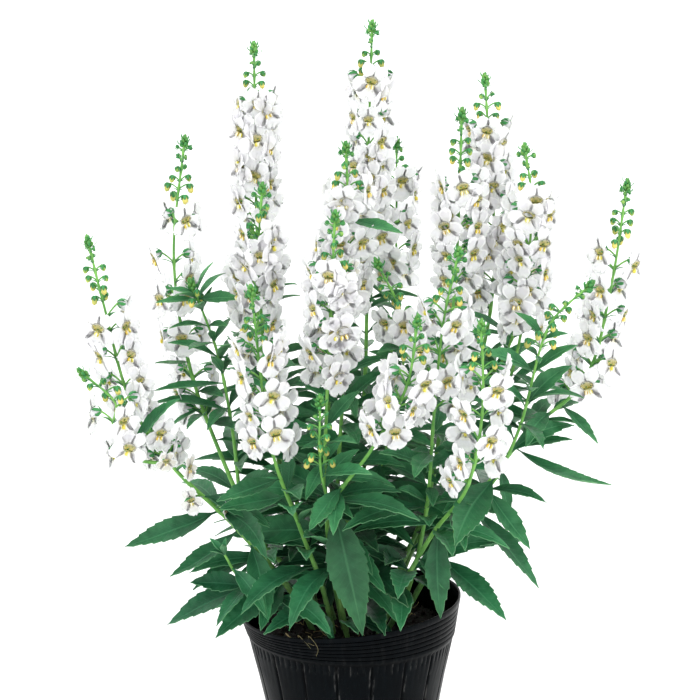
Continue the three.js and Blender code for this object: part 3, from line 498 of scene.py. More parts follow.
class Band:
    """A place on a shoot whose four faces carry leaves, flowers or buds."""

    def __init__(self, line, at):
        self.line, self.at, self.taken = line, at, set()
        self.place, self.tangent = line.curve.spots(at)[0], line.curve.heading(at)
        lower, upper = line.section(at - BAND_HEIGHT / 2), line.section(at + BAND_HEIGHT / 2)
        self.outward = []
        for k in range(4):
            middle = (upper[k] + lower[(k + 1) % 4] + upper[(k + 1) % 4]) / 3 - self.place
            self.outward.append(unit(middle - self.tangent * (middle @ self.tangent)))

    def free_face(self, direction):
        """The free face that looks nearest to a direction, or None."""
        if abs(direction @ self.tangent) > STEEPEST:
            return None
        free = [(self.outward[k] @ direction, -k) for k in range(4) if k not in self.taken]
        facing, k = max(free, default=(0, 0))
        return -k if facing > LEAST_FACING else None


class Crowd:
    """Spheres that stand for what has grown so far."""

    def __init__(self, most=90000):
        self.spots, self.radii, self.stems = np.zeros((most, 3)), np.zeros(most), np.zeros(most, int)
        self.count = 0

    def settle(self, spots, radii, stem):
        new = slice(self.count, self.count + len(spots))
        self.spots[new], self.radii[new], self.stems[new] = spots, radii, stem
        self.count = new.stop

    def clear(self, spots, radii, root, stem, kin=KIN_DISTANCE, clearance=CLEARANCE):
        if pot_touches(spots, radii).any():
            return False
        low, high = spots.min(0) - NEIGHBOURHOOD, spots.max(0) + NEIGHBOURHOOD
        near = np.arange(self.count)
        for axis in range(3):
            values = self.spots[near, axis] if axis else self.spots[:self.count, 0]
            near = near[(values > low[axis]) & (values < high[axis])]
        gaps = ((spots[:, None] - self.spots[near][None]) ** 2).sum(2)
        own = (self.stems[near] == stem)[None]
        limit = np.where(own, kin, radii[:, None] + self.radii[near][None] + clearance)
        near_root = (((spots - root) ** 2).sum(1) < ROOT_ZONE ** 2)[:, None]
        return not ((gaps < limit ** 2) & ~(own & near_root)).any()


def pot_touches(spots, radii):
    reach = np.hypot(spots[:, 0], spots[:, 1])
    over = (reach > POT_RIM_RADIUS - RIM_GAP["inside"]) & (
        reach < POT_RIM_RADIUS + radii + RIM_GAP["outside"])
    rim = POT_HEIGHT + RIM_TILT * spots[:, 0] / np.maximum(reach, 1)
    low = spots[:, 2] < rim + radii + RIM_GAP["above"]
    within = (reach < POT_RIM_RADIUS) & (spots[:, 2] < SOIL_TOP + SOIL_LUMP + radii)
    return np.where(over, low, within)


CROWD = Crowd()


def grow(stem, tries, samples_of, **rule):
    """The first of the tries that is clear grows: a list of that one piece, or of none."""
    for piece in tries:
        spots, radii = samples_of(piece)
        if CROWD.clear(spots, radii, piece["root"], stem["order"], **rule):
            CROWD.settle(spots, radii, stem["order"])
            if "face" in piece:
                piece["band"].taken.add(piece["face"])
            return [piece]
    return []


def draws(kind, stem, shoot, number):
    """The random numbers of one piece on one of a stem's shoots."""
    return stream(SEED[kind] + stem["order"] * 1000 + shoot * 100 + number)


def leaf_point(leaf, share):
    share = np.atleast_1d(share)[:, None]
    return mix(leaf["root"], leaf["tip"], share) + leaf["up"] * (leaf["arch"] * 4 * share * (1 - share))


def leaf_samples(leaf):
    reach = leaf["tip"] - leaf["root"]
    rows = math.ceil(math.sqrt(reach @ reach) / SAMPLE_STEP)
    shares = np.arange(1, rows + 1) / rows
    halves = leaf["width"] / 2 * np.interp(shares, *zip(*LEAF_OUTLINE))
    columns = np.ceil(2 * halves / SAMPLE_STEP).astype(int)
    row = np.repeat(np.arange(rows), columns + 1)
    column = np.arange(len(row)) - np.repeat(np.cumsum(columns + 1) - columns - 1, columns + 1)
    across = halves[row] * (2 * column / np.maximum(columns, 1)[row] - 1) * (columns > 0)[row]
    middles = leaf_point(leaf, shares) - leaf["up"] * LEAF_KEEL / 3
    return middles[row] + across[:, None] * leaf["side"], np.full(len(row), SAMPLE_RADIUS)


def leaf_tries(leaf, on_face=True, ways=LEAF_TRIES):
    """The ways in which a leaf may turn, rise or stay smaller to keep clear of what is there."""
    for size, lift, turn in itertools.product(ways["size"], ways["lift"], ways["turn"]):
        reach = turned((leaf["tip"] - leaf["root"]) * size, turn)
        reach[2] += lift * math.sqrt(reach @ reach)
        ahead = unit(reach)
        side, up = frame_of(ahead)
        piece = dict(leaf, side=side, up=up, tip=leaf["root"] + reach,
                     width=leaf["width"] * size, arch=leaf["arch"] * size)
        if on_face:
            piece["face"] = leaf["band"].free_face(ahead)
        if not on_face or piece["face"] is not None:
            yield piece


def flower_at(band, azimuth, size):
    """How a flower's stalk rises, where its pouch and face sit and which way it looks."""
    out = heading(azimuth)
    rise = unit(arc(out, band.tangent, math.radians(PEDICEL_RISE)))
    forward = arc(out, -UP, math.radians(FLOWER_NOD))
    side, up = frame_of(forward)
    pouch = band.place + rise * PEDICEL_LENGTH * size
    centre = pouch + forward * FACE_AHEAD - up * FACE_DROP
    return dict(band=band, root=band.place, rise=rise, forward=forward, side=side, up=up,
                pouch=pouch, centre=centre, size=size)


def flower_samples(flower):
    spots, radii = [], []
    for reach, ahead, count in FLOWER_SAMPLES:
        for i in range(count):
            angle = 2 * math.pi * i / count
            across, high = reach * math.cos(angle), FACE_STRETCH * reach * math.sin(angle)
            spots.append(flower["centre"] + flower["size"] * (
                flower["side"] * across + flower["up"] * high + flower["forward"] * ahead))
            radii.append(SAMPLE_RADIUS)
    for share in PEDICEL_SHARES:
        spots.append(mix(flower["root"], flower["pouch"], share))
        radii.append(PEDICEL_MARGIN + POUCH_RADIUS * share)
    return np.array(spots), np.array(radii)


def flower_tries(band, azimuth, on_face=True):
    for size, turn in itertools.product(FLOWER_TRIES["size"], FLOWER_TRIES["turn"]):
        flower = flower_at(band, azimuth + turn, size)
        if on_face:
            flower["face"] = band.free_face(flower["rise"])
        if not on_face or flower["face"] is not None:
            yield flower


def bud_samples(bud):
    spots = np.array([bud["root"] + bud["axis"] * bud["length"] * share for share in BUD_SHARES])
    return spots, np.full(2, bud["radius"] * BUD_SHARES[1])


def bare_stem(shoots):
    lines = []
    for path, *rest in shoots:
        path = list(path)
        if lines:
            line, at = nearest_on(lines, np.array(path[0], float))
            path[0] = tuple(line.curve.spots(at)[0])
        lines.append(Line(path, *rest))
    return lines


def nearest_on(lines, point):
    best = None
    for line in lines:
        ats = np.arange(0, line.length, 1.0)
        gaps = np.linalg.norm(line.curve.spots(ats) - point, axis=1)
        k = int(gaps.argmin())
        if best is None or gaps[k] < best[0]:
            best = (gaps[k], line, float(ats[k]))
    return best[1], best[2]


def place_bands(line):
    """Bands for the flowers and buds of a shoot, and for its small leaves where there is room."""
    count, zone = line.flowers
    pairs = math.ceil(count / 2)
    line.flower_bands = [line.band(line.length - line.buds - zone * (i + 0.5) / pairs)
                         for i in range(pairs)]
    line.bud_bands = [line.band(line.length - BUD_START - i * BUD_PAIR_GAP)
                      for i in range(int(line.buds // BUD_PAIR_GAP))]
    end, gap = line.leafy
    ats = [(i + FIRST_LEAF) * gap for i in range(int(end * line.length // gap))]
    line.leaf_bands = [line.band(at, LEAF_SPACING) for at in ats
                       if line.curve.spots(at)[0][2] > LEAF_START]


def grown_plant():
    """The stems with what grows on them: large leaves first, then flowers, buds and small leaves."""
    plant = []
    for order, (name, shoots) in enumerate(STEMS.items()):
        lines = bare_stem(shoots)
        large = []
        for start, tip, width in LARGE_LEAVES.get(name, []):
            line, at = nearest_on(lines, np.array(start, float))
            large.append((line.band(at), np.array(tip, float), width))
        for line in lines:
            place_bands(line)
            ats = np.arange(0, line.length, SAMPLE_STEP)
            CROWD.settle(line.curve.spots(ats), line.radius(ats) + STEM_MARGIN, order)
        plant.append(dict(name=name, order=order, lines=lines, large=large,
                          leaves=[], flowers=[], buds=[]))
    for grow_kind in (grow_large_leaves, grow_flowers, grow_buds, grow_leaves):
        for stem in plant:
            grow_kind(stem)
    return plant


def grow_large_leaves(stem):
    for band, tip, width in stem["large"]:
        arch = LEAF_ARCH * float(np.linalg.norm(tip - band.place))
        leaf = dict(band=band, root=band.place, tip=tip, width=width, arch=arch, large=True)
        stem["leaves"] += grow(stem, leaf_tries(leaf), leaf_samples)


def grow_flowers(stem):
    for shoot, line in enumerate(stem["lines"]):
        first = FIRST_FLOWER + FIRST_FLOWER_SWING * stream(stem["order"] * 10 + shoot)()
        for i in range(line.flowers[0]):
            draw, pair = draws("flower", stem, shoot, i), i // 2
            azimuth = first + 90 * (pair % 2) + 180 * ((i + pair // 2) % 2)
            tries = flower_tries(line.flower_bands[pair], azimuth + FLOWER_SWING * (draw() - 0.5))
            stem["flowers"] += grow(stem, tries, flower_samples)


def grow_buds(stem):
    for shoot, line in enumerate(stem["lines"]):
        for i, half in itertools.product(range(len(line.bud_bands)), (0, 1)):
            band, age = line.bud_bands[i], (i + 0.5) / len(line.bud_bands)
            draw = draws("bud", stem, shoot, 2 * i + half)
            out = heading(line.turn + 90 * i + 180 * half + BUD_SWING * (draw() - 0.5))
            axis = unit(out + band.tangent * BUD_RISE)
            bud = dict(band=band, face=band.free_face(axis), root=band.place, axis=axis,
                       length=mix(*BUD_LENGTH, age), radius=mix(*BUD_RADIUS, age), age=age)
            stem["buds"] += grow(stem, [] if bud["face"] is None else [bud], bud_samples)


def grow_leaves(stem):
    for shoot, line in enumerate(stem["lines"]):
        for i, half in itertools.product(range(len(line.leaf_bands)), (0, 1)):
            draw = draws("leaf", stem, shoot, 2 * i + half)
            leaf = small_leaf(line.leaf_bands[i], line.turn + 90 * i + 180 * half, draw)
            stem["leaves"] += grow(stem, leaf_tries(leaf), leaf_samples)


def small_leaf(band, azimuth, draw, size=1, tilt=0):
    rise = (band.place[2] - LEAF_LOW["height"]) / (LEAF_HIGH["height"] - LEAF_LOW["height"])
    height = min(max(rise, 0), 1)
    swing = {name: most * (draw() - 0.5) for name, most in LEAF_SWING.items()}
    length = size * mix(LEAF_LOW["length"], LEAF_HIGH["length"], height) * (1 + swing["length"])
    pitch = math.radians(mix(LEAF_LOW["pitch"], LEAF_HIGH["pitch"], height) + swing["pitch"] + tilt)
    out = heading(azimuth + swing["turn"])
    tip = band.place + out * length * math.cos(pitch) + UP * length * math.sin(pitch)
    return dict(band=band, root=band.place, tip=tip, width=length * LEAF_SLENDERNESS,
                arch=LEAF_ARCH * length, large=False)


# Extra growth, which has no solid of its own: buds, leaves and flowers between those of the solids

def extra_flowers(stem):
    """Flowers that fill the spikes, most of all at the front of dense ones."""
    sparse, ways = stem["name"] in SPARSE, EXTRA_FLOWERS[:3 if stem["name"] in DENSE else 2]
    for shoot, line in enumerate(stem["lines"]):
        count, zone = line.flowers
        rows = math.ceil(count / 2) + 1 if count else 0
        for i in range(2 * rows - (1 if sparse else 3)):
            band = Band(line, line.length - line.buds - zone * (i / 2) / max(rows - 1, 1))
            for k, (azimuth, turn, swing, rule) in enumerate(ways):
                draw = draws("extra flower", stem, shoot, 3 * i + k)
                tries = flower_tries(band, azimuth + turn * i + swing * draw(), on_face=False)
                if draw() < SPARSE.get(stem["name"], 1):
                    for flower in grow(stem, tries, flower_samples, **rule):
                        stem["flowers"].append(dict(flower, extra=True))


def extra_buds(stem):
    """Slightly smaller bud pairs halfway between those of the solids."""
    made = EXTRA_BUDS
    for shoot, line in enumerate(stem["lines"]):
        pairs = int((line.buds - 2) // BUD_PAIR_GAP) if line.bud_bands else 0
        for i, half in itertools.product(range(1, pairs + 1), (0, 1)):
            at = line.length - BUD_START - BUD_PAIR_GAP * (i - 0.5) - made["drop"]
            band, age = Band(line, at), np.clip((line.length - at) / max(line.buds, 1), 0.05, 1)
            draw = draws("extra bud", stem, shoot, 2 * i + half)
            swing = made["swing"] * (draw() - 0.5)
            out = heading(line.turn + 90 * i + made["turn"] + 180 * half + swing)
            axis = unit(out + band.tangent * mix(made["rise"], BUD_RISE, age))
            bud = dict(band=band, root=band.place, axis=axis, age=age,
                       length=mix(*BUD_LENGTH, age) * made["length"],
                       radius=mix(*BUD_RADIUS, age) * made["radius"])
            stem["buds"] += grow(stem, [bud], bud_samples, **made["rule"])


def extra_leaves(stem):
    """Smaller leaves, turned every way, but none low on the plant's outside."""
    made = EXTRA_LEAVES
    for shoot, line in enumerate(stem["lines"]):
        end = max(line.leafy[0], made["end"]) * line.length
        ats = np.arange(made["gap"] / 2, end, made["gap"])
        for (i, at), half in itertools.product(enumerate(ats), (0, 1)):
            band = Band(line, at)
            if band.place[2] < made["bottom"]:
                continue
            draw = draws("extra leaf", stem, shoot, 2 * i + half)
            size, pitch = mix(*made["size"], draw()), made["pitch"] * (draw() - 0.5)
            azimuth = line.turn + 90 * i + made["turn"] + 180 * half
            leaf = small_leaf(band, azimuth, draw, size, pitch)
            tries = leaf_tries(leaf, on_face=False, ways=made["ways"])
            for leaf in grow(stem, tries, leaf_samples, **made["rule"]):
                if band.place[2] >= made["low"] or abs(leaf["tip"][0]) <= made["reach"]:
                    stem["leaves"].append(dict(leaf, width=leaf["width"] * made["width"]))


def retouch(stem):
    """Flowers and leaves that the photograph shows a little differently from their solids."""
    for shoot, share, azimuth, size, wilted in PLACED_FLOWERS.get(stem["name"], []):
        line = stem["lines"][shoot]
        flower = flower_at(Band(line, share * line.length), azimuth, size)
        stem["flowers"].append(dict(flower, wilted=wilted))
    for number, azimuth in TURNED_FLOWERS.get(stem["name"], {}).items():
        flower = stem["flowers"][number]
        flower.update(flower_at(flower["band"], azimuth, flower["size"]))
    for leaf in stem["leaves"]:
        leaf["arch"] *= LARGE_LEAF_FLATNESS if leaf["large"] else 1
    for number, change in RETOUCHED_LEAVES.get(stem["name"], {}).items():
        leaf = stem["leaves"][number]
        reach = np.array(change.get("tip", leaf["tip"]), float) - leaf["root"]
        size = change.get("size", 1)
        side, up = frame_of(unit(reach))
        leaf.update(tip=leaf["root"] + reach * size, side=side, up=up,
                    width=change.get("width", leaf["width"] * size),
                    arch=change.get("arch", leaf["arch"] * size), shade=change.get("shade", 1))


def wilt(plant):
    """The front flower nearest to each wilted place turns brown."""
    flowers = [flower for stem in plant for flower in stem["flowers"]]
    for x, z in WILTED_PLACES:
        def gap(flower):
            across, deep, high = flower["centre"]
            return math.hypot(across - x, high - z) + WILTED["depth"] * deep

        min(flowers, key=gap)["wilted"] = WILTED["share"]


# Meshes

class Form:
    """A mesh in the making, with what its material reads at each point."""

    def __init__(self):
        self.points, self.faces, self.marks, self.count = [], [], [], 0

    def add(self, points, faces, tint, along=0.0, across=0.0, mark=0.0):
        marks = np.zeros((len(points), 6))
        marks[:, :3] = tint
        marks[:, 3], marks[:, 4], marks[:, 5] = along, across, mark
        self.points.append(points)
        self.faces.extend(part + self.count for part in faces)
        self.marks.append(marks)
        self.count += len(points)

    def paste(self, other, place, axes, tint):
        """Another form, set at a place along its own three axes and tinted anew."""
        marks = np.vstack(other.marks)
        self.add(np.vstack(other.points) @ np.array(axes) + place, other.faces, tint(marks[:, :3]),
                 marks[:, 3], marks[:, 4], marks[:, 5])

    def piece(self, name, material, slot, *nodes):
        mesh = bpy.data.meshes.new(name)
        faces = [face for part in self.faces for face in part.tolist()]
        mesh.from_pydata((np.vstack(self.points) * MM).tolist(), [], faces)
        marks = np.vstack(self.marks)
        tint = mesh.attributes.new("tint", "FLOAT_COLOR", "POINT")
        tint.data.foreach_set("color", np.hstack([marks[:, :3], np.ones((len(marks), 1))]).ravel())
        for k, label in enumerate(("along", "across", "mark"), 3):
            mesh.attributes.new(label, "FLOAT", "POINT").data.foreach_set("value", marks[:, k])
        mesh.shade_smooth()
        mesh.set_sharp_from_angle(angle=math.radians(SHARP_EDGE))
        mesh.materials.append(material)
        piece = placed(name, mesh)
        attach(piece, "root")
        if nodes:
            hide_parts(*nodes)


def placed(name, data):
    """A new object of the scene."""
    made = bpy.data.objects.new(name, data)
    bpy.context.scene.collection.objects.link(made)
    return made


def grid_faces(rows, columns, wrap=False):
    i = np.arange(rows - 1)[:, None]
    j = np.arange(columns if wrap else columns - 1)[None]
    k = (j + 1) % columns
    corners = [i * columns + j, i * columns + k, (i + 1) * columns + k, (i + 1) * columns + j]
    return np.stack(corners, -1).reshape(-1, 4)


def fan_faces(centre, ring, sides, forward=True):
    """Triangles from a centre point to the ring of points that starts at a number."""
    here, after = np.arange(sides) + ring, (np.arange(sides) + 1) % sides + ring
    return np.stack([np.full(sides, centre), *((here, after) if forward else (after, here))], -1)


def circle(sides):
    """Angles all the way round."""
    return 2 * np.pi * np.arange(sides) / sides


def around(angles, reach, z):
    """Points at angles around the pot's axis."""
    return np.stack([np.sin(angles) * reach, -np.cos(angles) * reach, z + 0 * angles], -1)


def ribbon(middle, side, half, across):
    """A grid of points across a middle line."""
    return middle[:, None] + side * (half[:, None] * across[None])[..., None]


def add_sheet(form, top, thick, tint, under, along, across, mark=0.0, under_mark=None):
    """A thin closed sheet from a grid of points on its upper face."""
    rows, columns = top.shape[:2]
    normal = np.cross(np.gradient(top, axis=1), np.gradient(top, axis=0))
    normal /= np.maximum(np.linalg.norm(normal, axis=2, keepdims=True), 1e-9)
    bottom = top - normal * thick
    cells, size = grid_faces(rows, columns), rows * columns
    index = np.arange(size).reshape(rows, columns)
    edges = [(index[0, ::-1][:-1], index[0, ::-1][1:]), (index[-1, :-1], index[-1, 1:]),
             (index[:-1, 0], index[1:, 0]), (index[:0:-1, -1], index[:-1, -1][::-1])]
    rims = [np.stack([a, b, b + size, a + size], -1) for a, b in edges]
    twice = lambda values: np.tile(np.broadcast_to(values, (rows, columns)).ravel(), 2)
    tints = np.vstack([np.broadcast_to(colour, (size, 3)) for colour in (tint, under)])
    marks = twice(mark)
    if under_mark is not None:
        marks[size:] = under_mark
    form.add(np.vstack([top.reshape(-1, 3), bottom.reshape(-1, 3)]),
             [cells, cells[:, ::-1] + size, *rims], tints, twice(along), twice(across), marks)


def add_tube(form, centres, radii, sides, tint):
    """A closed round body along a line of centres."""
    rows = len(centres)
    tangents = np.gradient(centres, axis=0)
    tangents /= np.linalg.norm(tangents, axis=1, keepdims=True)
    normal = np.cross(tangents[0], UP if abs(tangents[0][2]) < 0.9 else SIDEWAYS)
    cosines, sines = np.cos(circle(sides))[:, None], np.sin(circle(sides))[:, None]
    rings = []
    for centre, tangent, radius in zip(centres, tangents, np.broadcast_to(radii, rows)):
        normal = unit(normal - tangent * (normal @ tangent))
        rings.append(centre + radius * (cosines * normal + sines * np.cross(tangent, normal)))
    end = rows * sides
    faces = [grid_faces(rows, sides, wrap=True), fan_faces(end, 0, sides, forward=False),
             fan_faces(end + 1, end - sides, sides)]
    along = np.concatenate([np.repeat(np.linspace(0, 1, rows), sides), [0, 1]])
    across = np.concatenate([np.tile(np.arange(sides) / sides, rows), [0, 0]])
    tints = np.broadcast_to(tint, (rows, 3))
    tints = np.vstack([np.repeat(tints, sides, axis=0), tints[:1], tints[-1:]])
    form.add(np.vstack([*rings, centres[:1], centres[-1:]]), faces, tints, along, across)


def add_egg(form, base, axis, length, radius, sides, tint, rows=7, widest=0.5):
    shares = np.linspace(0, 1, rows)
    spread = np.where(shares < widest, shares / widest, (1 - shares) / (1 - widest))
    radii = radius * np.sqrt(np.clip(1 - (1 - spread) ** 2, 0.004, 1))
    add_tube(form, base + shares[:, None] * axis * length, radii, sides, tint)


# Leaves

def outward_roll(leaf, draw):
    """How far a leaf turns about its rib, in degrees, so that its upper face looks out of the plant."""
    middle = (leaf["root"] + leaf["tip"]) / 2 - LEAF_ROLL["centre"]
    out = unit(middle * [0.5, 1, 0])
    swing = LEAF_ROLL["swing"] * (draw() - 0.5)
    return LEAF_ROLL["large" if leaf["large"] else "small"] * -(leaf["side"] @ out) + swing


def leaf_edge(half, length, large):
    """Shares of a leaf's length, its outline there, and its half width with teeth."""
    first, last = TEETH["first"], TEETH["last"]
    teeth = round(length / TEETH["large"]) if large else max(2, round(length / TEETH["small"]))
    step = (last - first) / teeth
    notches = [first + k * step + part * step for k in range(teeth) for part in (0.06, 0.55, 0.96)]
    shares = np.array([0, 0.04, 0.08, 0.12, 0.17, 0.23, 0.3, *notches, 0.955, 0.98, 1.0])
    blade = np.clip((shares - 0.07) / 0.93, 0, 1)
    outline = np.sin(np.pi * blade ** 0.86) ** 1.12
    phase = np.where((shares > first) & (shares < last), (shares - first) / step % 1, 0.5)
    tooth = (phase - 0.5) * min(TEETH["most"], TEETH["depth"] * half) * (outline > 0.2)
    return shares, outline, np.maximum(half * outline + tooth, np.where(shares < 0.3, 0.5, 0.12))


def leaf_tint(leaf, draw):
    """Fresher green high up. Darker low in the plant's middle, which the lamps hardly reach, and where
    a leaf is given a shade: both are painted shade.
    """
    height = np.clip((leaf["root"][2] - 95) / 160, 0, 1)
    x, y, z = leaf_point(leaf, np.array([0.5]))[0]
    # Leaves low in the plant's middle are darkened: painted shade.
    painted_depth_shade = (1 - smooth(math.hypot(x, y - 12), 22, 62)) * (1 - smooth(z, 110, 165))
    tint = mix(mix(TINTS["leaf_deep"], TINTS["leaf_mid"], draw()), TINTS["leaf_young"], 0.4 * height)
    return tint * (1 - 0.6 * painted_depth_shade) * leaf.get("shade", 1)


def add_leaf(form, leaf, draw):
    length, half = float(np.linalg.norm(leaf["tip"] - leaf["root"])), leaf["width"] / 2
    shares, outline, width = leaf_edge(half, length, leaf["large"])
    across = np.linspace(-1, 1, 7 if leaf["large"] else 5)
    bend, droop, wave, offset = draw() - 0.5, draw(), draw(), draw() * 6
    roll = math.radians(outward_roll(leaf, draw))
    side, up = arc(leaf["side"], leaf["up"], roll), arc(leaf["up"], -leaf["side"], roll)
    middle = leaf_point(leaf, shares)
    middle = middle + leaf["side"] * (np.sin(np.pi * shares) * bend * 0.07 * length)[:, None]
    middle = middle - UP * (shares ** 3 * droop * 0.05 * length)[:, None]
    keel = np.minimum(1.7 * LEAF_KEEL, 0.42 * half * outline)
    rise = keel[:, None] * (np.abs(across)[None] ** 1.4 - 1)
    ripple = np.sin(shares * 11 + offset) * wave * 0.05 * half
    rise = rise + ripple[:, None] * np.abs(across)[None] ** 2
    top = ribbon(middle, side, width, across) + up * rise[..., None]
    tint = leaf_tint(leaf, draw)
    add_sheet(form, top, LEAF_THICKNESS, tint, mix(TINTS["leaf_under"], tint, 0.5), shares[:, None],
              across[None], MARK_LEAF, MARK_UNDER)


# Flowers

def add_lobe(form, angle, root, length, half, lift, draw, notch, rows, columns):
    """One petal lobe, in [side, up, ahead], with a curled, wavy and sometimes notched end."""
    lower = angle < -60
    shares = 1 - (1 - np.linspace(0, 1, rows)) ** 1.5
    u, v = shares[:, None], np.linspace(-1, 1, columns)[None]
    width = half * (LOBE_BASE + (1 - LOBE_BASE) * smooth(shares, 0, 0.6)) * np.sqrt(
        1 - np.clip((shares - 0.48) / 0.545, 0, 1) ** 2.2)
    ahead = np.array([math.cos(math.radians(angle)), math.sin(math.radians(angle))])
    aside = np.array([ahead[1], -ahead[0]])
    phase, curl, frill = draw() * 6, draw(), draw() * 6
    edge = 0.035 * np.sin(5 * v + frill) * u ** 3
    reach = length * (u + 0.1 * (1 - v ** 2) * u ** 4 - notch * np.exp(-(v / 0.3) ** 2) * u ** 5 + edge)
    plane = np.array(root) + reach[..., None] * ahead + (width[:, None] * v)[..., None] * aside
    depth = (lift * u ** 1.5 + 0.5 * v ** 2 * u - (0.4 + 1.1 * curl) * u ** 4
             + 0.5 * np.sin(2.6 * v * math.pi + phase) * u ** 3 - 0.5 * (1 - u) ** 2)
    root_tint = mix(TINTS["petal_base"], TINTS["boss"], 0.6 * lower)
    near = (1 - smooth(u, 0.05, 0.45)) * (1 - smooth(np.abs(v), 0.3, 0.8) * lower)
    tint = mix(TINTS["petal"], root_tint, near[..., None]).reshape(-1, 3)
    add_sheet(form, np.concatenate([plane, depth[..., None]], axis=2), PETAL_THICKNESS,
              tint, tint * 0.97, u, v, MARK_LEAF)


def flower_face(seed, fine):
    """The five lobes, cup, slit and bosses of a flower, in [side, up, ahead]."""
    draw, form = stream(700 + seed), Form()
    rows, columns = (7, 7) if fine else (6, 5)
    for angle, root, length, half, lift in LOBES:
        grown, wide = 0.9 + 0.2 * draw(), 0.92 + 0.16 * draw()
        tilt = angle + 12 * (draw() - 0.5)
        notch = 0.03
        if angle == -90:
            notch = LOWER_NOTCHES[seed % 6]
            wide *= 1 + 0.75 * notch
        add_lobe(form, tilt, root, length * grown, half * wide, lift, draw, notch, rows, columns)
    add_throat(form, 16 if fine else 12)
    two = seed % 3 != 1
    for aside in ((-0.95, 0.95) if two else (0.0,)):
        axis = unit(np.array([0.16 * aside, -1.0, 0.16]))
        golden = mix(TINTS["boss"], TINTS["gold"], draw())
        add_egg(form, np.array([aside, -1.15, -0.1]), axis, 2.9, 0.85 if two else 1.25, 6, golden,
                rows=5, widest=0.34)
    return form


def add_throat(form, sides, rows=5):
    """The shallow cup under the upper lobes, darkest in its slit with painted shade, and the tube
    behind it.
    """
    angles = circle(sides)
    high = np.where(np.sin(angles) > 0, 2.9, 1.8) * np.sin(angles)
    edge = np.stack([3.3 * np.cos(angles), 0.3 + high, np.full(sides, -0.25)], -1)
    centre = np.array([0, -0.7, -1.5])
    cup = np.vstack([mix(edge, centre, 0.94 * share) + [0, 0, -0.5 * math.sin(math.pi * share)]
                     for share in np.linspace(0, 1, rows)])
    # The slit where the lips meet is darkened: painted shade.
    dark = np.exp(-((cup[:, 1:2] + 1.0) / 0.42) ** 2) * (np.abs(cup[:, :1]) < 2.4)
    tints = mix(TINTS["boss"], mix(TINTS["olive"], TINTS["cup"], 0.75), smooth(cup[:, 1:2], -0.9, 0.1))
    tints = mix(tints, TINTS["petal_base"], 0.55 * smooth(cup[:, 1:2], 0.4, 3.0))
    tints = [mix(tints, TINTS["slit"], 0.85 * dark), TINTS["olive"][None]]
    tube = []
    for shrink, shift, tint in THROAT_TUBE:
        tube.append(edge * [*shrink, 1.0] + [0, *shift])
        tints.append(np.tile(TINTS[tint], (sides, 1)))
    tints.append(TINTS["pouch"][None])
    ends = (centre - [0, 0, 0.1])[None], (tube[-1].mean(0) + [0, 0, -0.3])[None]
    points = np.vstack([cup, ends[0], *tube, ends[1]])
    size, back, ring = rows * sides, rows * sides + 1, np.arange(sides)
    after = (ring + 1) % sides
    faces = [grid_faces(rows, sides, wrap=True), fan_faces(size, size - sides, sides),
             grid_faces(len(tube), sides, wrap=True)[:, ::-1] + back,
             np.stack([after, after + back, ring + back, ring], -1),
             fan_faces(len(points) - 1, len(points) - 1 - sides, sides, forward=False)]
    form.add(points, faces, np.vstack(tints), points[:, 1], points[:, 0],
             MARK_CUP * (np.arange(len(points)) < size))


def add_sepal(form, base, axis, out, length, width, tint):
    """A narrow pointed sepal that hugs what it holds."""
    shares, across = np.linspace(0, 1, 4), np.linspace(-1, 1, 2)
    half = width / 2 * np.array([0.6, 1.0, 0.7, 0.08])
    bow = np.array([0.0, 0.3, 0.34, 0.14]) * length
    middle = base + shares[:, None] * axis * length + bow[:, None] * out
    top = ribbon(middle, unit(np.cross(out, axis)), half, across)
    add_sheet(form, top, 0.24, tint, tint, shares[:, None], across[None])


def add_calyx(form, base, axis, length, width, spread, sepals=5):
    side = unit(np.cross(axis, UP if abs(axis[2]) < 0.9 else SIDEWAYS))
    other = np.cross(axis, side)
    for k in range(sepals):
        out = arc(side, other, 2 * math.pi * k / sepals)
        add_sepal(form, base + out * spread * 0.5, axis, out, length, width, TINTS["calyx"])


def stalk_between(start, end, lift, steps=5):
    """A stalk's line, which rises and then nods."""
    shares = np.linspace(0, 1, steps)[:, None]
    middle = (start + end) / 2 + lift
    return (1 - shares) ** 2 * start + 2 * shares * (1 - shares) * middle + shares ** 2 * end


def add_flower(petals, green, flower, face, draw):
    roll, nod, glance = (math.radians(most * (draw() - 0.5)) for most in FACE_SWING)
    side, up = arc(flower["side"], flower["up"], roll), arc(flower["up"], -flower["side"], roll)
    forward = unit(flower["forward"] + math.tan(nod) * up + math.tan(glance) * side)
    side = unit(side - forward * (side @ forward))
    up = np.cross(forward, side) * np.sign(np.cross(forward, side) @ up)
    size, tone = flower["size"] * (0.97 + 0.08 * draw()), 0.96 + 0.06 * draw()
    wilted = flower.get("wilted", 0)
    if wilted:
        size *= WILTED["size"]
    tint = lambda colours: mix(colours * tone, TINTS["wilted"] * (0.5 + 0.6 * colours), wilted)
    petals.paste(face, flower["centre"], np.array([side, up, forward]) * size, tint)
    back = flower["centre"] + size * (up * 1.35 - forward * 4.6)
    stalk = stalk_between(flower["root"], back, UP * 1.3 + flower["rise"] * 0.6)
    add_tube(green, stalk, np.linspace(0.42, 0.52, 5), 5, TINTS["stem_high"])
    axis = unit(forward + 0.25 * (stalk[-1] - stalk[-2]) / np.linalg.norm(stalk[-1] - stalk[-2]))
    add_calyx(green, back - axis * 0.4, axis, 4.4 * size, 1.7, 1.6)
    add_bract(green, flower["band"], flower["rise"], draw)


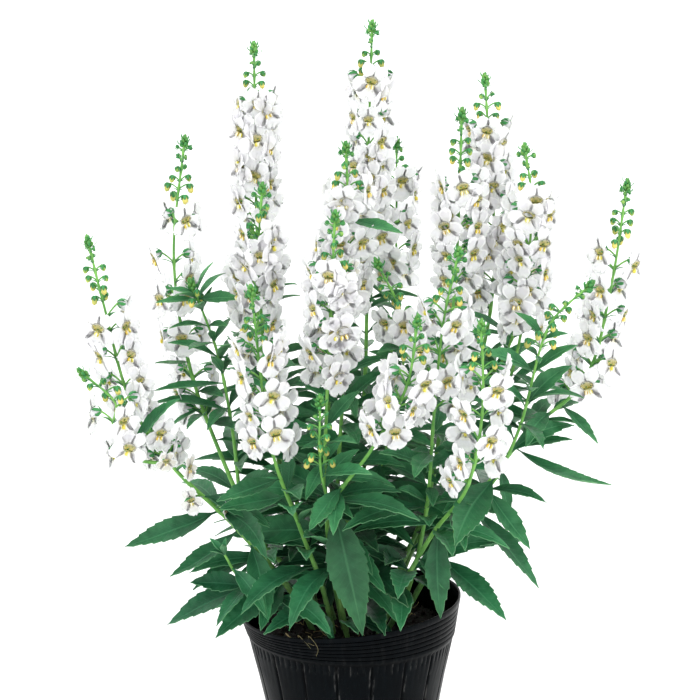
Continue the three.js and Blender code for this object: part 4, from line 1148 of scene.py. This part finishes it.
def add_bract(form, band, direction, draw, scale=1.0):
    """The narrow leaf under each stalk."""
    low = np.clip((340 - band.place[2]) / 180, 0, 1)
    left = np.clip((band.line.length - band.at) / 110, 0.12, 1)
    length = scale * (3.2 + 10.5 * left * low) * (0.85 + 0.3 * draw())
    out = unit(direction - 0.25 * UP)
    side, up = frame_of(out)
    leaf = dict(root=band.place - band.tangent * 0.6, tip=band.place + out * length, up=up,
                arch=0.12 * length)
    shares, across = np.linspace(0, 1, 5), np.linspace(-1, 1, 3)
    half = (0.24 * length + 0.6) / 2 * np.array([0.3, 0.95, 1.0, 0.6, 0.06])
    top = (ribbon(leaf_point(leaf, shares), side, half, across)
           + up * (0.25 * half[:, None] * (np.abs(across)[None] - 1))[..., None])
    tint = mix(TINTS["leaf_mid"], TINTS["leaf_young"], draw())
    add_sheet(form, top, 0.25, tint, mix(tint, TINTS["leaf_under"], 0.5), shares[:, None],
              across[None], MARK_LEAF, MARK_UNDER)


# Buds and stems

def add_bud(form, bud, draw):
    """A bud that hangs from its curved stalk: green when young, cream before it opens."""
    age = np.clip(bud["age"] + 0.16 * (draw() - 0.5), 0, 1)
    radius, size = mix(*BUD_LOOK["radius"], age), mix(*BUD_LOOK["length"], age ** 1.2)
    tangent = bud["band"].tangent
    out = unit(bud["axis"] - tangent * (bud["axis"] @ tangent))
    neck = bud["root"] + bud["axis"] * mix(*BUD_LOOK["stalk"], age) + UP * 0.5 * age
    axis = unit(mix(bud["axis"], out * 0.25 - UP, smooth(age, 0.15, 0.6)))
    stalk = stalk_between(bud["root"], neck, bud["axis"] * 0.6 + UP * mix(0.2, 1.5, age))
    add_tube(form, stalk, np.linspace(0.36, 0.42, 5), 5, mix(TINTS["stem_high"], TINTS["calyx"], 0.4))
    young = mix(TINTS["bud_green"], TINTS["bud_lime"], smooth(age, 0.15, 0.5))
    body = mix(young, TINTS["bud_cream"], smooth(age, 0.45, 0.75))
    shade = np.linspace(0, 1, 7)[:, None] ** 0.8
    tint = mix(mix(body, TINTS["bud_green"], 0.7), body, np.clip(1.5 * shade, 0, 1))
    add_egg(form, neck, axis, size, radius * 0.9, 8, tint, widest=0.56)
    add_calyx(form, neck - axis * 0.1, axis, mix(1.9, 2.6, age), radius * 1.1, radius * 0.9,
              5 if age > 0.35 else 3)
    add_bract(form, bud["band"], bud["axis"], draw, 0.75)


def add_tip(form, line, draw):
    """The youngest buds in a tight cluster at a shoot's end, or four small leaves if it has none."""
    end, ahead = line.curve.spots(line.length)[0], line.curve.heading(line.length)
    side, up = frame_of(ahead) if abs(ahead[2]) < 0.99 else (SIDEWAYS, np.array([0, 1.0, 0]))
    for k in range(0 if line.buds else TIP_LEAVES):
        reach = (0.7 * arc(side, up, 1.57 * k) + ahead) * mix(9, 7, k % 2)
        across, over = frame_of(unit(reach))
        add_leaf(form, dict(root=end, tip=end + reach, side=across, up=over, width=3.2, arch=0.8,
                            large=False), draw)
    for k in range(TIP_BUDS if line.buds else 0):
        share, out = k / (TIP_BUDS - 1), arc(side, up, GOLDEN_TURN * k)
        base = end + ahead * mix(0.8, -4.2, share) + out * mix(0.1, 0.95, math.sin(2.3 * share))
        axis = unit(out * mix(0.15, 0.55, share) + ahead)
        size = mix(2.1, 2.7, share) * (0.9 + 0.2 * draw())
        tint = mix(TINTS["bud_green"], TINTS["bud_lime"], 0.35 * draw())
        add_egg(form, base, axis, size, size * 0.36, 6, tint, rows=5)
        if k % 2:
            add_sepal(form, base - axis * 0.3, unit(axis + 0.5 * out), out, size * 1.4, 1.1,
                      TINTS["calyx"])


def add_stem(form, line):
    """A shoot, swollen a little at each node."""
    steps = max(12, int(line.length / 3))
    ats = np.linspace(0, line.length, steps)
    radii = line.radius(ats) * np.linspace(0.88, 0.74, steps)
    for band in line.bands:
        radii = radii + 0.3 * np.exp(-((ats - band.at) / 1.4) ** 2)
    centres = line.curve.spots(ats)
    height = smooth(centres[:, 2], 84, 145)[:, None]
    add_tube(form, centres, radii, 9, mix(TINTS["stem_low"], TINTS["stem_high"], height))


# Materials

class Value:
    """A node's output, which can be added to, taken from and multiplied as a number."""

    def __init__(self, tree, socket):
        self.tree, self.socket = tree, socket

    def __add__(self, other):
        return self.tree.math("ADD", self, other)

    def __sub__(self, other):
        return self.tree.math("SUBTRACT", self, other)

    def __mul__(self, other):
        return self.tree.math("MULTIPLY", self, other)

    def __abs__(self):
        return self.tree.math("ABSOLUTE", self)


class Tree:
    """Short names for making a material's nodes."""

    def __init__(self, name):
        self.material = bpy.data.materials.new(name)
        self.material.use_nodes = True
        self.tree = self.material.node_tree
        self.shader = self.tree.nodes["Principled BSDF"]

    def node(self, kind, output, inputs=(), **settings):
        made = self.tree.nodes.new("ShaderNode" + kind)
        for name, value in settings.items():
            setattr(made, name, value)
        for name, value in dict(inputs).items():
            self.set(made.inputs[name], value)
        return Value(self, made.outputs[output])

    def set(self, socket, value):
        if isinstance(value, Value):
            self.tree.links.new(value.socket, socket)
        else:
            socket.default_value = value

    def read(self, *names):
        return [self.node("Attribute", "Color" if name == "tint" else "Fac", attribute_name=name)
                for name in names]

    def math(self, operation, *values):
        return self.node("Math", 0, enumerate(values), operation=operation)

    def ramp(self, value, low, high, to_low=0.0, to_high=1.0):
        return self.node("MapRange", "Result", {"Value": value, "From Min": low, "From Max": high,
                                                "To Min": to_low, "To Max": to_high},
                         interpolation_type="SMOOTHSTEP")

    def mix(self, share, a, b, blend="MIX"):
        a, b = ((*colour, 1) if isinstance(colour, tuple) else colour for colour in (a, b))
        return self.node("Mix", 2, {0: share, 6: a, 7: b}, data_type="RGBA", blend_type=blend)

    def times(self, a, b):
        return self.mix(1.0, a, b, "MULTIPLY")

    def noise(self, scale, detail=3.0, rough=0.55, stretch=None):
        place = self.node("TexCoord", "Object")
        if stretch:
            place = self.node("Mapping", 0, {"Vector": place, "Scale": stretch})
        return self.node("TexNoise", "Fac", {"Vector": place, "Scale": scale, "Detail": detail,
                                             "Roughness": rough})

    def bump(self, height, distance, strength=1.0):
        normal = self.node("Bump", 0, {"Height": height, "Distance": distance, "Strength": strength})
        self.set(self.shader.inputs["Normal"], normal)

    def finish(self, **values):
        for name, value in values.items():
            self.set(self.shader.inputs[name.replace("_", " ")], value)
        return self.material


def foliage_material():
    """Leaves with a pale midrib, slanting side veins and mottling, darker at the foot; plain stems."""
    t = Tree("foliage")
    tint, along, across, mark = t.read("tint", "along", "across", "mark")
    on_leaf, off = t.math("GREATER_THAN", mark, 0.25), abs(across)
    rib = t.ramp(off, 0.10, 0.02) * on_leaf
    wave = abs(t.math("SINE", (along * 15.0 - off * 1.9) * math.pi))
    vein = t.ramp(wave, 0.22, 0.03) * t.ramp(off, 1.0, 0.5) * on_leaf
    foot = t.ramp(along, 0.62, 0.12) * on_leaf
    edge = t.ramp(off, 0.86, 1.0) * on_leaf
    outer = (t.ramp(off, 0.15, 0.9) + t.ramp(along, 0.4, 1.0)) * on_leaf
    mottle = t.noise(160, 4) * 0.5 + t.noise(70, 3) * 0.5
    colour = t.mix(t.ramp(mottle, 0.38, 0.62, 0.0, 0.85), tint, t.times(tint, SHADES["leaf_mottle"]))
    colour = t.mix(foot * 0.6, colour, t.times(colour, SHADES["leaf_foot"]))
    pale = t.times(tint, SHADES["leaf_vein"])
    for share in (vein * 0.14, rib * 0.45, edge * 0.1):
        colour = t.mix(share, colour, pale)
    colour = t.mix(outer * 0.42, colour, t.times(colour, SHADES["leaf_outer"]))
    t.bump(t.noise(1400, 2) * 0.35 - (rib + vein * 0.35), 0.00025, 0.55)
    rough = t.ramp(t.noise(420, 3), 0.3, 0.75, 0.36, 0.55)
    return t.finish(Base_Color=colour, Roughness=rough, Specular_IOR_Level=0.24)


def petal_material():
    """Thin white petals with faint veins and a fine grain, lavender-grey in the middle of each lobe and
    white at its border, partly painted shade; a grey rim of painted shade at the very edge; in the cup,
    specks, and a dark slit of painted shade.
    """
    t = Tree("petal")
    tint, along, across, mark = t.read("tint", "along", "across", "mark")
    in_cup, on_lobe = t.math("GREATER_THAN", mark, 1.5), t.math("LESS_THAN", mark, 1.5)
    off, grain = abs(across), t.noise(1900, 3, 0.7)
    fan = abs(t.math("SINE", across * 13.0))
    vein = t.ramp(fan, 0.3, 0.05) * t.ramp(along, 0.95, 0.2) * on_lobe
    # Lobes are lavender-grey in the middle and white at the border: partly the petals' own faint
    # lavender, partly painted shade.
    border = t.math("MAXIMUM", t.ramp(along, 0.66, 0.88), t.ramp(off, 0.62, 0.88)) * on_lobe
    # A grey line at the very edge of each lobe, where one lobe shades the next: painted shade.
    rim = t.math("MAXIMUM", t.ramp(along, 0.94, 1.0), t.ramp(off, 0.92, 1.0)) * on_lobe
    speck = t.ramp(t.noise(2600, 2, 0.6), 0.56, 0.66) * in_cup
    bow = abs(along + 1.1 - t.math("POWER", off, 2.0) * 0.06)
    # The dark slit in the cup, where the lips meet: painted shade.
    slit = t.ramp(bow, 0.42, 0.16) * t.ramp(off, 2.7, 2.1) * in_cup
    colour = tint
    for share, shade in ((t.ramp(grain, 0.42, 0.75, 0.0, 0.12), "petal_grain"),
                         (vein * 0.15, "petal_vein"), (border * 0.9, "petal_border"),
                         (rim * 0.5, "petal_edge_shade"), (speck * 0.8, "speck"), (slit * 0.9, "slit")):
        colour = t.mix(share, colour, SHADES[shade])
    t.bump(grain + vein * -0.5, 0.00018, 0.6)
    return t.finish(Base_Color=colour, Roughness=t.ramp(grain, 0.3, 0.7, 0.46, 0.62),
                    Specular_IOR_Level=0.2, Subsurface_Weight=0.85,
                    Subsurface_Radius=(0.002, 0.002, 0.002), Subsurface_Scale=1.0)


def pot_material():
    """Soft black plastic with a dull sheen, faint upright streaks, dust and pale scuffs on edges."""
    t = Tree("pot_plastic")
    mark, tint = t.read("mark", "tint")
    haze, fine = t.noise(34, 5, 0.6), t.noise(420, 3, 0.6, (1.0, 1.0, 0.05))
    dust = t.ramp(t.noise(1500, 3, 0.7), 0.62, 0.74)
    streak = t.ramp(t.noise(420, 4, 0.7, (1.0, 1.0, 0.16)), 0.50, 0.66)
    colour = t.mix(t.ramp(haze + fine, 0.75, 1.25), t.times(tint, SHADES["pot_haze"]), tint)
    colour = t.mix(mark * streak * 0.5, colour, SHADES["scuff"])
    colour = t.mix(dust * t.ramp(haze, 0.42, 0.7, 0.02, 0.22), colour, SHADES["dust"])
    t.bump(fine * 0.8 + haze * 2.0, 0.0002, 0.6)
    rough = t.ramp(haze + dust * 0.3, 0.3, 0.9, 0.32, 0.55)
    return t.finish(Base_Color=colour, Roughness=rough, Specular_IOR_Level=0.04)


def soil_material():
    """Moist dark peat, darker where its bump is low, between the clods: painted shade."""
    t = Tree("soil")
    [tint], clods = t.read("tint"), t.noise(320, 6, 0.7)
    # Darker in the low places of the bump, between the clods: painted shade.
    colour = t.mix(t.ramp(clods, 0.35, 0.68), t.times(tint, SHADES["soil_gap_shade"]), tint)
    t.bump(clods, 0.0012, 0.9)
    rough = t.ramp(clods, 0.3, 0.7, 0.72, 0.95)
    return t.finish(Base_Color=colour, Roughness=rough, Specular_IOR_Level=0.25)


# Pot

def rim_lift(azimuth, z):
    """The soft rim isn't quite level: it slopes from side to side and waves."""
    share = np.clip((z - RIDGE_BAND_BOTTOM) / (POT_HEIGHT - RIDGE_BAND_BOTTOM), 0, 1)
    return share * (RIM_TILT * np.sin(azimuth) + RIM_WAVE * np.sin(2 * azimuth + 0.6))


def pot_reach(z):
    """The outer radius of the plain wall, which flares a little more than the solid's."""
    return mix(POT_FOOT_RADIUS, POT_RIM_RADIUS, z / POT_HEIGHT) + RIM_FLARE * smooth(z, 38, POT_HEIGHT)


def pot_profile():
    """Heights and insets of the pot's outer face with its lip, and of its inner face downwards."""
    outer = [(0.0, 0.9), (0.35, 0.25), (1.0, 0.0)]
    outer += [(FLUTE_BOTTOM + step, 0.0) for step in (-1, 0, 1, 2)]
    outer += [(z, BAND_STEP * smooth(z, 20, 60)) for z in (20, 32, 44, 56, TICK_BAND[0] - 0.5)]
    outer += [(z, BAND_STEP) for z in TICK_ROWS]
    pitch = (RIDGE_BAND_TOP - RIDGE_BAND_BOTTOM) / RIDGES
    for k, phase in itertools.product(range(RIDGES), (0.12, 0.3, 0.7, 0.88, 1.0)):
        bulge = math.sin(math.pi * phase) ** 0.35 if phase < 1 else 0
        outer.append((RIDGE_BAND_BOTTOM + pitch * (k + phase), RIDGE_DEPTH * (1 - bulge)))
    outer += [(89.4, 0.0), (90.6, 0.0), (91.2, 0.0)]
    outer += [(91.7, 0.12), (POT_HEIGHT, 0.45), (POT_HEIGHT, 0.8), (91.7, 1.1)]
    inner = [(z, POT_WALL) for z in (91.2, 88, 84, 80.5, RIDGE_BAND_BOTTOM, 60, 8)]
    return outer, [*inner, (POT_FLOOR, POT_WALL + 0.2)]


def pot_angles():
    """Angles around the pot, close together at each flute and tick."""
    flute, found = 2 * math.pi / FLUTES, []
    for i, k in itertools.product(range(FLUTES), range(TICKS_PER_FLUTE)):
        steps = FLUTE_STEPS if k == TICKS_PER_FLUTE // 2 else TICK_STEPS
        found += [(i + (k + 0.5) / TICKS_PER_FLUTE) * flute + step / 48 for step in steps]
    return np.sort(np.array(found))


def pot_sag(angles, z):
    """How far the soft wall stands out of true, most of all on the left."""
    left, sag = -np.sin(angles), 0
    for depth, waves, start, low, high in WALL_WAVES:
        sag = sag + depth * np.sin(waves * angles + start) * smooth(z, low, high)
    return sag + LEFT_BULGE * np.clip(left, -0.3, 1) ** 2 * np.sign(left) * smooth(z, -10, 95)


def pot_ring(angles, z, inset, face):
    """One ring of the wall: its points, how worn they are, and how much painted shade darkens its
    flutes, dimple and hollows. Only its face is moulded.
    """
    flute, radius = 2 * np.pi / FLUTES, pot_reach(z)
    off = np.abs((angles / flute) % 1 - 0.5) * flute * radius
    tick = np.abs((angles / flute * TICKS_PER_FLUTE) % 1 - 0.5) * flute / TICKS_PER_FLUTE * radius
    turn = (angles - math.radians(DIMPLE["azimuth"]) + math.pi) % (2 * math.pi) - math.pi
    length = smooth(z, FLUTE_BOTTOM - 1, FLUTE_BOTTOM + 2) * (1 - smooth(z, FLUTE_TOP, FLUTE_TOP + 1))
    cut = np.exp(-(off / FLUTE_WIDTH) ** 2) * length * face
    nick = np.exp(-(tick / TICK_WIDTH) ** 2) * face * smooth(z, TICK_BAND[0], TICK_BAND[0] + 1.2)
    nick = nick * (1 - smooth(z, TICK_BAND[1] - 0.4, TICK_BAND[1]))
    pit = np.exp(-((turn * radius) ** 2 + (z - DIMPLE["height"]) ** 2) / DIMPLE["radius"] ** 2) * face
    reach = radius - inset - FLUTE_DEPTH * cut - TICK_DEPTH * nick * (1 - cut) + pot_sag(angles, z)
    points = around(angles, reach - DIMPLE["depth"] * pit, z + rim_lift(angles, z))
    edge = np.exp(-((off - 0.95) / 0.35) ** 2) * length * face
    crest = 0.1 * face * (z > RIDGE_BAND_BOTTOM) * (inset < 0.3)
    ridged = (z > RIDGE_BAND_BOTTOM) * face * inset / RIDGE_DEPTH
    # Flutes, the dimple, the hollows between the ridges and the step under the ridged band are
    # darkened: painted shade in the recesses.
    hollow = np.maximum(np.maximum(cut, pit), ridged) + 0.5 * (75.5 < z < RIDGE_BAND_BOTTOM)
    return points, np.clip(edge + 0.7 * nick + crest, 0, 1), 1.25 - 1.05 * np.clip(hollow, 0, 1)


def pot():
    form, angles = Form(), pot_angles()
    outer, inner = pot_profile()
    rings = [pot_ring(angles, z, inset, True) for z, inset in outer]
    rings += [pot_ring(angles, z, inset, False) for z, inset in inner]
    points, worn, painted_shade = (np.concatenate(part) for part in zip(*rings))
    # The wall's tint is darkened in its recesses: painted shade.
    form.add(points, [grid_faces(len(rings), len(angles), wrap=True)], POT_TINT * painted_shade[:, None],
             mark=worn)
    centres = [heading(360 * i / DRAIN_HOLES) * DRAIN_CIRCLE for i in range(DRAIN_HOLES)]
    turn = circle(DRAIN_SIDES)
    hole = DRAIN_RADIUS * np.stack([np.cos(turn), np.sin(turn), 0 * turn], -1)
    add_floor(form, rings[0][0], centres, hole, 0.0, downward=True)
    add_floor(form, rings[-1][0], centres, hole, POT_FLOOR, downward=False)
    for centre in centres:
        wall = grid_faces(2, DRAIN_SIDES, wrap=True)[:, ::-1]
        form.add(np.vstack([centre + hole, centre + hole + UP * POT_FLOOR]), [wall], POT_TINT)
    return form


def add_floor(form, ring, centres, hole, z, downward):
    """One flat face of the floor, from a ring of the wall to the drain holes."""
    loops = [ring[:, :2], *(centre[:2] + hole[:, :2] for centre in centres)]
    edges, start = [], 0
    for loop in loops:
        edges += [(start + k, start + (k + 1) % len(loop)) for k in range(len(loop))]
        start += len(loop)
    spots, _, faces, *_ = delaunay_2d_cdt([tuple(p) for p in np.vstack(loops)], edges, [], 0, 1e-6)
    spots, faces = np.array([tuple(p) for p in spots]), np.array(faces)
    middle = spots[faces].mean(1)
    gaps = [np.linalg.norm(middle - centre[:2], axis=1) for centre in centres]
    faces = faces[np.min(gaps, axis=0) >= DRAIN_RADIUS * 0.99]
    a, b, c = (spots[faces[:, k]] for k in range(3))
    upward = np.cross(b - a, c - a) > 0
    faces = np.where(upward[:, None] == downward, faces[:, ::-1], faces)
    form.add(np.hstack([spots, np.full((len(spots), 1), z)]), [faces], POT_TINT)


# Soil and roots

def wall_radius(z):
    return mix(POT_FOOT_RADIUS, POT_RIM_RADIUS, z / POT_HEIGHT) - POT_WALL - FLUTE_DEPTH - CLEARANCE


def lumps(x, y):
    """A rough surface as a sum of waves that never line up."""
    total = 0
    for k, (size, height) in enumerate(SOIL_WAVES):
        turn = 1.9 * k
        a = x * math.cos(turn) + y * math.sin(turn)
        b = y * math.cos(turn) - x * math.sin(turn)
        wave = height * np.sin(2 * np.pi * a / size + k)
        total = total + wave * np.cos(2 * np.pi * b / (size * 1.13))
    return total


def spot_in_pot(draw, most):
    """A random place on the soil, as a distance from the axis of at most most along a direction."""
    reach, angle = most * math.sqrt(draw()), 2 * math.pi * draw()
    return reach * math.sin(angle), -reach * math.cos(angle)


def add_crumb(form, draw):
    x, y = spot_in_pot(draw, CRUMBS["reach"])
    size = 0.5 + 1.5 * draw() ** 2
    base = np.array([x, y, SOIL_TOP + lumps(x, y) - 0.25 * size])
    axis = unit(np.array([draw() - 0.5, draw() - 0.5, 0.25 + draw() * 0.4]))
    tint = SOIL_TINT * (0.5 + 1.1 * draw())
    add_egg(form, base, axis, size * 1.5, size * 0.7, 6, tint, rows=4)


def add_straw(form, draw):
    """A thin root that lies on the soil, unless it would reach the wall."""
    x, y = spot_in_pot(draw, STRAWS["reach"])
    away = heading(360 * draw())
    length = 4 + 9 * draw()
    places = np.array([x, y, 0]) + np.outer(np.linspace(0, 1, 7), away * length)
    places += np.outer(np.sin(np.linspace(0, 4, 7)), np.cross(away, UP)) * draw() * 1.6
    if (np.hypot(places[:, 0], places[:, 1]) < STRAWS["wall"]).all():
        places[:, 2] = SOIL_TOP + lumps(places[:, 0], places[:, 1]) + 0.35
        add_tube(form, places, 0.16 + 0.14 * draw(), 5, TINTS["straw"] * (0.35 + 0.5 * draw()))


def soil(sides=108, rows=28):
    """The root ball, its lumpy surface, and the crumbs and roots on it."""
    form, angles = Form(), circle(sides)
    rings = [around(angles, wall_radius(z), z) for z in (POT_FLOOR + CLEARANCE, 30, 60, SOIL_TOP - 3)]
    for share in np.linspace(1, 0.015, rows):
        ring = around(angles, (wall_radius(SOIL_TOP) - 0.3) * share, 0.0)
        ring[:, 2] = SOIL_TOP + lumps(ring[:, 0], ring[:, 1]) - 2.6 * smooth(share, 0.9, 1.0)
        rings.append(ring)
    end = len(rings) * sides
    faces = [grid_faces(len(rings), sides, wrap=True), fan_faces(end, 0, sides, forward=False),
             fan_faces(end + 1, end - sides, sides)]
    points = np.vstack([*rings, [[0, 0, POT_FLOOR + CLEARANCE]], [[0, 0, SOIL_TOP]]])
    form.add(points, faces, SOIL_TINT * 0.85)
    draw = stream(4)
    for _ in range(CRUMBS["count"]):
        add_crumb(form, draw)
    for _ in range(STRAWS["count"]):
        add_straw(form, draw)
    return form


def roots():
    form = Form()
    for path in ROOTS:
        line = Curve([heading(azimuth) * (pot_reach(z) + out) + UP * z for azimuth, out, z in path])
        count = max(10, int(line.length / 1.2))
        places = line.spots(np.linspace(0, line.length, count))
        add_tube(form, places, np.linspace(0.15, 0.07, count), 5, TINTS["straw"] * 0.6)
    return form


# The whole plant

def build_plant():
    plant = grown_plant()
    for stem in plant:
        retouch(stem)
        extra_flowers(stem)
    for stem in plant:
        extra_buds(stem)
        extra_leaves(stem)
    wilt(plant)
    fine, plain = ([flower_face(k, detail) for k in range(FACES)] for detail in (True, False))
    foliage, petal = foliage_material(), petal_material()
    for stem in plant:
        green, white, draw = Form(), Form(), stream(300000 + stem["order"])
        for line in stem["lines"]:
            add_stem(green, line)
            add_tip(green, line, draw)
        for leaf in stem["leaves"]:
            add_leaf(green, leaf, draw)
        for bud in stem["buds"]:
            add_bud(green, bud, draw)
        for flower in stem["flowers"]:
            faces = plain if flower.get("extra") else fine
            add_flower(white, green, flower, faces[int(draw() * FACES) % FACES], draw)
        green.piece(stem["name"] + "_foliage", foliage, "foliage", stem["name"])
        white.piece(stem["name"] + "_flowers", petal, "petal")


# Room and camera

def stage():
    """A plain pale floor, a white sky and large soft lamps."""
    mesh = bpy.data.meshes.new("floor")
    corners = [(x * FLOOR_REACH, y * FLOOR_REACH, 0) for x, y in ((-1, -1), (1, -1), (1, 1), (-1, 1))]
    mesh.from_pydata(corners, [], [(0, 1, 2, 3)])
    t = Tree("floor_paper")
    colour = t.mix(t.ramp(t.noise(6, 2), 0.3, 0.7), SHADES["paper"], SHADES["paper_light"])
    mesh.materials.append(t.finish(Base_Color=colour, Roughness=0.9, Specular_IOR_Level=0.1))
    placed("floor", mesh)
    world = bpy.data.worlds.new("sky")
    world.use_nodes = True
    sky = world.node_tree.nodes["Background"].inputs
    sky["Color"].default_value, sky["Strength"].default_value = (1.0, 1.0, 1.0, 1), SKY_STRENGTH
    bpy.context.scene.world = world
    for name, place, size, power in LAMPS:
        data = bpy.data.lights.new(name, "AREA")
        data.size, data.energy = size, power
        lamp = placed(name, data)
        lamp.location = place
        x, y, z = np.array(LAMP_TARGET) - place
        lamp.rotation_euler = math.atan2(math.hypot(x, y), -z), 0, math.atan2(x, -y) + math.pi


def camera():
    data = bpy.data.cameras.new("camera")
    data.sensor_width, data.lens = CAMERA["sensor"], CAMERA["lens"]
    data.clip_start, data.clip_end = 0.05, 60
    made = placed("camera", data)
    made.location = CAMERA["place"]
    made.rotation_euler = (math.radians(CAMERA["pitch"]), 0, 0)
    bpy.context.scene.camera = made


camera()
stage()
bpy.context.scene.view_settings.view_transform = "Standard"
build_plant()
pot().piece("pot_shell", pot_material(), "pot_plastic", "pot")
soil().piece("soil_surface", soil_material(), "soil", "soil")
roots().piece("root_fibres", foliage_material(), "soil")
